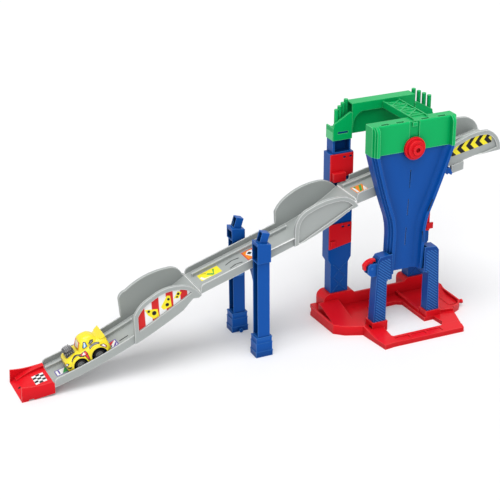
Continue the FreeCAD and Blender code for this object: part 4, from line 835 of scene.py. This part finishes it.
def engine_piece():
    """Block with fins, covers and a ribbed intake, standing on the hood."""
    black = finishes["engine_black"]
    bm = bmesh.new()
    for x, y, z, radius in engine_boxes:
        soft_box(bm, x, y, z, radius)
    pieces = [new_piece("block", bm, black, car_place)]
    bm = bmesh.new()
    ring_loft(bm, "intake", intake_rings, 32)
    intake = new_piece("intake", bm, black, car_place)
    bm = bmesh.new()
    ring_loft(bm, "mouth", mouth_rings, 24)
    cut_away(intake, "mouth", bm, black)
    pieces.append(intake)
    run = car_place.to_3x3() @ Vector((1.0, 0.0, 0.0)) * MM
    for low, high, half, start, count, pitch in fin_rows:
        bm = bmesh.new()
        soft_box(bm, (start, start + fin_thickness), (-half, half), (low, high), 0.5)
        fins = new_piece("fins", bm, black, car_place)
        repeat(fins, count, black, step=run * pitch)
        pieces.append(fins)
    for side in (-1, 1):
        bm = bmesh.new()
        rod(bm, (stub_place[0], side * stub_place[1], stub_place[2]), stub_radius, stub_length, 20,
            side * stub_tilt)
        stubs = new_piece("stubs", bm, black, car_place)
        repeat(stubs, 4, black, step=run * stub_pitch)
        pieces.append(stubs)
    engine = merged("engine_detail", black, pieces)
    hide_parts("engine")
    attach(engine, "car")


# Wheels: profile points are (distance out from the tyre's inner radius, y); the tyre's are
# stretched from tyre_rise to its own height

tyre_rise = 2.7
tyre_profile = [(0.0, 16.7), (1.0, 16.5), (2.2, 16.8), (2.7, 17.8), (2.7, 19.3), (2.35, 19.5),
                (2.35, 19.9), (2.7, 20.1), (2.7, 21.9), (2.35, 22.1), (2.35, 22.5), (2.7, 22.7),
                (2.7, 24.2), (2.3, 25.1), (1.5, 25.45), (0.9, 25.3), (0.5, 25.45), (0.0, 25.2)]
tyre_inner = {"front": 6.5, "rear": 6.7}
tyre_radius = 10.0
tread_lugs = 26
steps_per_lug = 6
tread_depth = 0.35
tread_from = 9.85
rim_profile = [(0.0, 16.5), (0.0, 25.1), (-0.4, 25.3), (-0.9, 25.2), (-1.3, 24.5), (-1.5, 23.2)]
cup_profile = [(2.6, 23.2), (2.4, 24.6), (1.9, 24.9), (0.05, 24.95), (0.05, 16.5)]
hub_ribs = 12
rib_ends = (2.2, 1.1)
rib_y = (22.8, 24.7)


def tread(index, radius):
    """Radius of the tyre at one of its steps, lowered in the grooves between the lugs."""
    groove = radius > tread_from and index % steps_per_lug in (0, 1)
    return radius - tread_depth if groove else radius


def wheel_pair(end, body):
    """Tyres with cut tread and ribbed hubs, both sides of one axle."""
    centre = axle_places[end]
    inner = tyre_inner[end]
    stretch = (tyre_radius - inner) / tyre_rise
    bm = bmesh.new()
    for side in (-1, 1):
        lathe(bm, [(inner + rise * stretch, y) for rise, y in tyre_profile], centre, side,
              tread_lugs * steps_per_lug, tread)
    tyres = new_piece(end + "_tyre_pair", bm, finishes["tyre_black"], car_place)
    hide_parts(end + "_tyres")
    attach(tyres, body)

    grey = finishes["hub_grey"]
    bm = bmesh.new()
    for side in (-1, 1):
        rim = [(inner + rise, y) for rise, y in rim_profile]
        lathe(bm, rim + cup_profile, centre, side, 72)
    pieces = [new_piece("hub_cups", bm, grey, car_place)]
    middle = car_place @ Vector((centre[0] * MM, 0.0, centre[1] * MM))
    for side in (-1, 1):
        bm = bmesh.new()
        soft_box(bm, (centre[0] + rib_ends[0], centre[0] + inner - rib_ends[1]),
                 sorted(side * y for y in rib_y), (centre[1] - 0.4, centre[1] + 0.4), 0.25)
        ribs = new_piece("ribs", bm, grey, car_place)
        repeat(ribs, hub_ribs, grey, centre=middle, turn=(0.0, math.tau / hub_ribs, 0.0))
        pieces.append(ribs)
    hubs = merged(end + "_hub_pair", grey, pieces)
    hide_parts(end + "_hubs")
    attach(hubs, body)


engine_piece()
wheel_pair("front", "front_wheels")
wheel_pair("rear", "rear_wheels")


# Prints and stickers on the mouldings, in the track's own frame

track_origin = Vector((0.0006, 0.0325, 0.0))
panel_y = -41.0

inks = {
    "Dark": (0.012, 0.012, 0.015), "White": (0.86, 0.87, 0.87), "Red": (0.66, 0.02, 0.02),
    "Yellow": (0.93, 0.80, 0.03), "Green": (0.03, 0.36, 0.07), "Orange": (0.87, 0.25, 0.02),
    "Purple": (0.10, 0.05, 0.36),
}


def field(x, y, inset=0.0):
    """Corners of a sticker between two values along and across the lane."""
    return [(x[0] + inset, y[0] + inset), (x[1] - inset, y[0] + inset),
            (x[1] - inset, y[1] - inset), (x[0] + inset, y[1] - inset)]


def stroke(x0, y0, x1, y1):
    """Corners of a brush stroke that widens from 2 to 3 mm."""
    return [(x0, y0 - 1.0), (x1, y1 - 1.5), (x1, y1 + 1.5), (x0, y0 + 1.0)]


# Ink and corners of each deck's shapes, in the order in which they lie over each other
deck_shapes = {
    "middle_deck": (
        ("Yellow", field((-127.0, -87.0), (-11.0, 13.8))),
        ("White", [(-123.5, -10.0), (-118.0, -10.0), (-122.5, 3.0), (-126.0, 1.0)]),
        ("White", [(-125.0, -6.5), (-109.0, -10.6), (-108.0, -9.0), (-125.0, -4.6)]),
        ("Dark", [(-120.0, 13.0), (-112.0, 6.0), (-111.2, 6.8), (-118.4, 13.0)]),
        ("Green", [(-112.5, 2.0), (-109.5, 5.0), (-99.5, -6.0), (-103.0, -8.4)]),
        ("Green", [(-103.0, -8.4), (-100.4, -4.2), (-94.6, 9.6), (-98.0, 10.4)]),
        ("Dark", stroke(-75.0, 1.4, -61.0, 6.2)), ("Dark", stroke(-61.0, 6.2, -47.5, 3.4)),
        ("Dark", stroke(-73.0, -15.4, -60.0, -11.4)),
        ("Dark", stroke(-60.0, -11.4, -48.0, -15.4)),
        ("Red", field((-38.5, -16.0), (-19.0, 13.8))),
        ("Orange", field((-38.5, -16.0), (-19.0, 13.8), 1.6)),
        ("White", [(-34.0, 2.0), (-28.0, -12.0), (-18.0, -8.0), (-19.0, 9.0), (-28.0, 10.5)]),
        ("Dark", [(-31.5, 3.0), (-27.0, -4.0), (-22.0, 1.0), (-26.0, 7.0)])),
    "lower_deck": (
        ("Purple", field((-410.0, -384.0), (-18.0, 1.5))),
        ("White", field((-410.0, -384.0), (-18.0, 1.5), 1.6)),
        ("Purple", [(-404.5, -14.0), (-402.0, -14.0), (-402.0, 0.0), (-404.5, 0.0)]),
        ("Green", [(-399.0, -16.0), (-385.6, -16.0), (-385.6, -4.0), (-391.0, 0.0)]),
        ("Purple", field((-318.5, -293.5), (-21.0, 0.5))),
        ("White", field((-318.5, -293.5), (-21.0, 0.5), 1.8)),
        ("Red", [(-316.0, -8.0), (-305.0, -1.5), (-296.0, -1.5), (-306.0, -12.0)]),
        ("Dark", [(-312.0, -18.0), (-306.0, -11.0), (-303.5, -13.0), (-308.0, -19.0)]),
        ("Purple", [(-303.0, -18.6), (-296.0, -8.0), (-295.4, -12.0), (-298.5, -18.6)]),
        ("Dark", [(-290.0, -14.4), (-273.0, -13.8), (-273.0, -11.0), (-290.0, -11.6)])),
    "upper_deck": (
        ("Orange", field((183.5, 207.0), (-20.0, 7.4))),
        ("White", [(185.6, -18.4), (189.5, -18.4), (189.5, 4.0), (185.6, 5.6)]),
        ("Green", [(191.5, -17.0), (196.0, -17.0), (205.0, 5.6), (200.0, 5.6)]),
        ("White", [(198.5, -18.0), (206.4, -18.0), (206.4, 0.0)]),
        ("Green", [(188.0, 5.4), (193.5, 5.4), (190.0, -3.0)])),
}
exit_field = field((-449.0, -428.2), (-18.0, 13.0))
chequer_start = (-445.5, -15.0)
chequer_pitch = (13.9, 12.4)
exit_hole = (-474.0, 3.4)
exit_hole_radius = 2.6

# Lower near guard, along and up: red bars on white under yellow shapes with dark dots
red_bar_start = -251.5
red_bar_pitch = 27.6
red_bar_slant = 0.04
flames = (
    [(-249.8, 131.3), (-225.3, 128.4), (-222.7, 113.8), (-233.0, 110.4), (-243.4, 119.3)],
    [(-207.2, 150.6), (-200.8, 149.6), (-198.2, 128.4), (-213.7, 124.0), (-218.9, 130.3)],
    [(-186.3, 155.6), (-178.9, 152.2), (-184.3, 141.2), (-194.0, 142.4)],
)
flame_dots = (((-242.0, 126.6), 2.6), ((-231.8, 121.6), 4.2), ((-204.1, 143.2), 2.6),
              ((-206.6, 133.0), 3.4), ((-185.3, 149.9), 2.6), ((-187.6, 144.4), 1.9))

# Upper near guard: the panel's lower line rises along the lane, and the chevrons follow it
panel_slope = 0.182
panel_foot = 251.1
panel_half = 11.5
panel_end = 459.0
chevron_lean = 0.85
chevron_start = 387.5
chevron_pitch = 19.8

# Dark slots, painted shade where the real mouldings have slots: outlines, with the middle and half
# of the layer that they lie in
frame_y = (-70.0, 4.5)
facade_slots = ([(306.2, 231.6), (307.8, 231.2), (316.4, 255.0), (314.8, 255.6)],
                [(298.6, 191.0), (300.2, 191.0), (302.8, 168.0), (301.4, 168.0)])
socket_x = (195.8, 1.2)
base_slot = [(-69.0, 8.6), (-58.0, 8.6), (-58.0, 12.6), (-69.0, 12.6)]


def deck_print(node):
    art = Painter(node + "_print", inks, track_origin)
    for ink, corners in deck_shapes[node]:
        art.draw(ink, art.outline(corners))
    art.finish(node, "track_grey")


def exit_print():
    """Chequers, and the dark hole at the ramp's low end, painted shade standing in for the hole.
    """
    art = Painter("exit_print", inks, track_origin)
    rows, columns = (art.bars(value, start, pitch) for value, start, pitch
                     in zip((art.x, art.y), chequer_start, chequer_pitch))
    squares = art.math("ABSOLUTE", art.math("SUBTRACT", rows, columns))
    art.draw("White", art.outline(exit_field))
    art.draw("Dark", art.outline(exit_field), squares)
    art.draw("Dark", art.dot(exit_hole, exit_hole_radius, "xy"))
    art.finish("exit_ramp", "bright_red")


def lower_guard_print():
    art = Painter("lower_guard_print", inks, track_origin)
    panel = art.near_panel()
    slanted = art.math("MULTIPLY_ADD", art.z, red_bar_slant, art.x)
    art.draw("White", panel)
    art.draw("Red", panel, art.bars(slanted, red_bar_start, red_bar_pitch))
    for corners in flames:
        art.draw("Yellow", panel, art.outline(corners, "xz"))
    for centre, radius in flame_dots:
        art.draw("Dark", panel, art.dot(centre, radius, "xz"))
    art.finish("lower_near_wall", "track_grey")


def upper_guard_print():
    """Yellow and dark chevrons."""
    art = Painter("upper_guard_print", inks, track_origin)
    rise = art.math("MULTIPLY_ADD", art.x, -panel_slope, art.math("ADD", art.z, -panel_foot))
    from_middle = art.math("ABSOLUTE", art.math("SUBTRACT", rise, panel_half))
    leaning = art.math("MULTIPLY_ADD", from_middle, -chevron_lean, art.x)
    before_end = art.mask(art.math("SUBTRACT", panel_end, art.x))
    panel = art.joined("MULTIPLY", [art.near_panel(), art.mask(rise, 0.5), before_end])
    art.draw("Yellow", panel)
    art.draw("Dark", panel, art.bars(leaning, chevron_start, chevron_pitch))
    art.finish("upper_near_wall", "track_grey")


def facade_print():
    """Dark slots in the near frame's right border: painted shade standing in for their holes."""
    art = Painter("facade_slots", inks, track_origin)
    front = art.level(art.y, *frame_y)
    for corners in facade_slots:
        art.draw("Dark", front, art.outline(corners, "xz", 0.2))
    art.finish("facade", "tower_blue")


def base_print():
    """Dark slot in the left front socket: painted shade standing in for its hole."""
    art = Painter("base_slot", inks, track_origin)
    art.draw("Dark", art.level(art.x, *socket_x), art.outline(base_slot, "yz"))
    art.finish("base", "bright_red")


# Legs: slanting ribs on the near faces, in millimetres

leg_face_y = -69.0
rib_proud = 0.45
rib_depth = 0.6
rib_width = 1.5
rib_pitch = 5.6
rib_slope = math.atan(0.8)
rib_border = (0.80, 1.0, 0.90, 1.0)
rib_finish = plastic("gloss_rib_blue", (0.006, 0.095, 0.38), (0.06, 0.24, 0.62), 0.30,
                     edge_strength=0.4, specular=0.12, crease=0.8)


def leg_shade(node):
    """Painted shade: a slightly deeper blue on the leg's near face, under its ribs, for the shade
    between them.
    """
    art = Painter(node + "_face", {"Shade": (0.004, 0.052, 0.26)}, track_origin)
    art.draw("Shade", art.facing_near())
    art.finish(node, "tower_blue")


def leg_ribs(node):
    """Fine slanting ribs on the leg's near face, kept inside a plain border."""
    low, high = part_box(node)
    middle = Vector(((low[0] + high[0]) / 2, leg_face_y * MM + track_origin.y,
                     (low[2] + high[2]) / 2))
    reach = (high[0] - low[0]) / MM
    rise = (high[2] - low[2]) / MM
    count = int((rise + reach) / rib_pitch) + 1
    bm = bmesh.new()
    soft_box(bm, (-reach, reach), (-rib_proud, rib_depth), (-rib_width / 2, rib_width / 2), 0.2)
    bmesh.ops.rotate(bm, verts=bm.verts, matrix=Matrix.Rotation(rib_slope, 3, "Y"))
    start = Matrix.Translation((middle.x, middle.y, low[2] - reach / 2 * MM))
    ribs = new_piece(node + "_ribs", bm, rib_finish, start)
    repeat(ribs, count, rib_finish, step=Vector((0.0, 0.0, rib_pitch * MM)))
    outline = nodes[node].data.copy()
    outline.transform(Matrix.Translation((0.0, -2 * rib_proud * MM, 0.0))
                      @ Matrix.Translation(middle) @ Matrix.Diagonal(rib_border)
                      @ Matrix.Translation(-middle))
    merging = bmesh.new()
    merging.from_mesh(outline)
    bmesh.ops.remove_doubles(merging, verts=merging.verts, dist=weld_distance)
    merging.to_mesh(outline)
    merging.free()
    boolean(ribs, "INTERSECT", linked("leg_outline", outline))
    ribs.data.materials.clear()
    ribs.data.materials.append(rib_finish)
    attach(ribs, "root")


for deck in deck_shapes:
    deck_print(deck)
exit_print()
lower_guard_print()
upper_guard_print()
facade_print()
base_print()
for leg in ("left_leg", "right_leg"):
    leg_shade(leg)
    leg_ribs(leg)


# Studio: floor, lamps, camera

floor_half = 6.0
floor_glow = 0.08
world_level = 0.42
lamp_spread = 40.0


def seen_share(tree, unseen, seen):
    """One value for the camera's and mirrored rays, another for the rest."""
    ray = tree.nodes.new("ShaderNodeLightPath")
    mask = math_node(tree, "MAXIMUM", ray.outputs["Is Camera Ray"], ray.outputs["Is Glossy Ray"])
    return map_range(tree, mask, 0.0, 1.0, unseen, seen)


def floor_material():
    """Pale floor that glows a little to the camera and in reflections, and keeps the shadow."""
    material, tree, shader = new_material("studio_floor")
    for label, value in (("Base Color", (0.86, 0.86, 0.87)), ("Roughness", 0.9),
                         ("Specular IOR Level", 0.1)):
        feed(tree, shader.inputs[label], value)
    glow = tree.nodes.new("ShaderNodeEmission")
    glow.inputs["Color"].default_value = (1.0, 1.0, 1.0, 1.0)
    mix = tree.nodes.new("ShaderNodeMixShader")
    for index, socket in enumerate((seen_share(tree, 0.0, floor_glow), shader.outputs[0],
                                    glow.outputs[0])):
        tree.links.new(socket, mix.inputs[index])
    tree.links.new(mix.outputs[0], tree.nodes["Material Output"].inputs["Surface"])
    return material


def studio_floor():
    mesh = bpy.data.meshes.new("studio_floor")
    sides = ((-1, -1), (1, -1), (1, 1), (-1, 1))
    mesh.from_pydata([(x * floor_half, y * floor_half, 0) for x, y in sides], [], [(0, 1, 2, 3)])
    mesh.materials.append(floor_material())
    linked("studio_floor", mesh)


def sky_lamp(name, place, strength):
    """Lamp as far away as the sun, so that it lights the whole floor evenly."""
    light = bpy.data.lights.new(name, "SUN")
    light.angle = math.radians(lamp_spread)
    light.energy = strength
    turn = (-Vector(place)).to_track_quat("-Z", "Y")
    linked(name, light).rotation_euler = turn.to_euler()


def studio_world():
    world = bpy.data.worlds.new("studio")
    scene.world = world
    world.use_nodes = True
    backdrop = world.node_tree.nodes["Background"]
    backdrop.inputs["Color"].default_value = (1.0, 1.0, 1.0, 1.0)
    world.node_tree.links.new(seen_share(world.node_tree, world_level, 1.0),
                              backdrop.inputs["Strength"])


def studio_camera():
    camera = bpy.data.cameras.new("camera")
    camera.lens = camera_lens
    camera.sensor_width = camera_sensor
    camera.clip_start = 0.05
    camera.clip_end = 30.0
    ahead = Vector((math.sin(camera_azimuth) * math.cos(camera_pitch),
                    math.cos(camera_azimuth) * math.cos(camera_pitch), -math.sin(camera_pitch)))
    level = Vector((math.cos(camera_azimuth), -math.sin(camera_azimuth), 0.0))
    upward = level.cross(ahead)
    right = level * math.cos(camera_roll) + upward * math.sin(camera_roll)
    up = upward * math.cos(camera_roll) - level * math.sin(camera_roll)
    turn = Matrix((right, up, -ahead)).transposed().to_4x4()
    scene.camera = linked("camera", camera)
    scene.camera.matrix_world = Matrix.Translation(camera_place) @ turn


studio_floor()
studio_world()
sky_lamp("key", (-0.15, -0.30, 1.5), 2.0)
sky_lamp("front", (-0.55, -1.2, 0.9), 0.95)
studio_camera()
scene.view_settings.view_transform = "Standard"
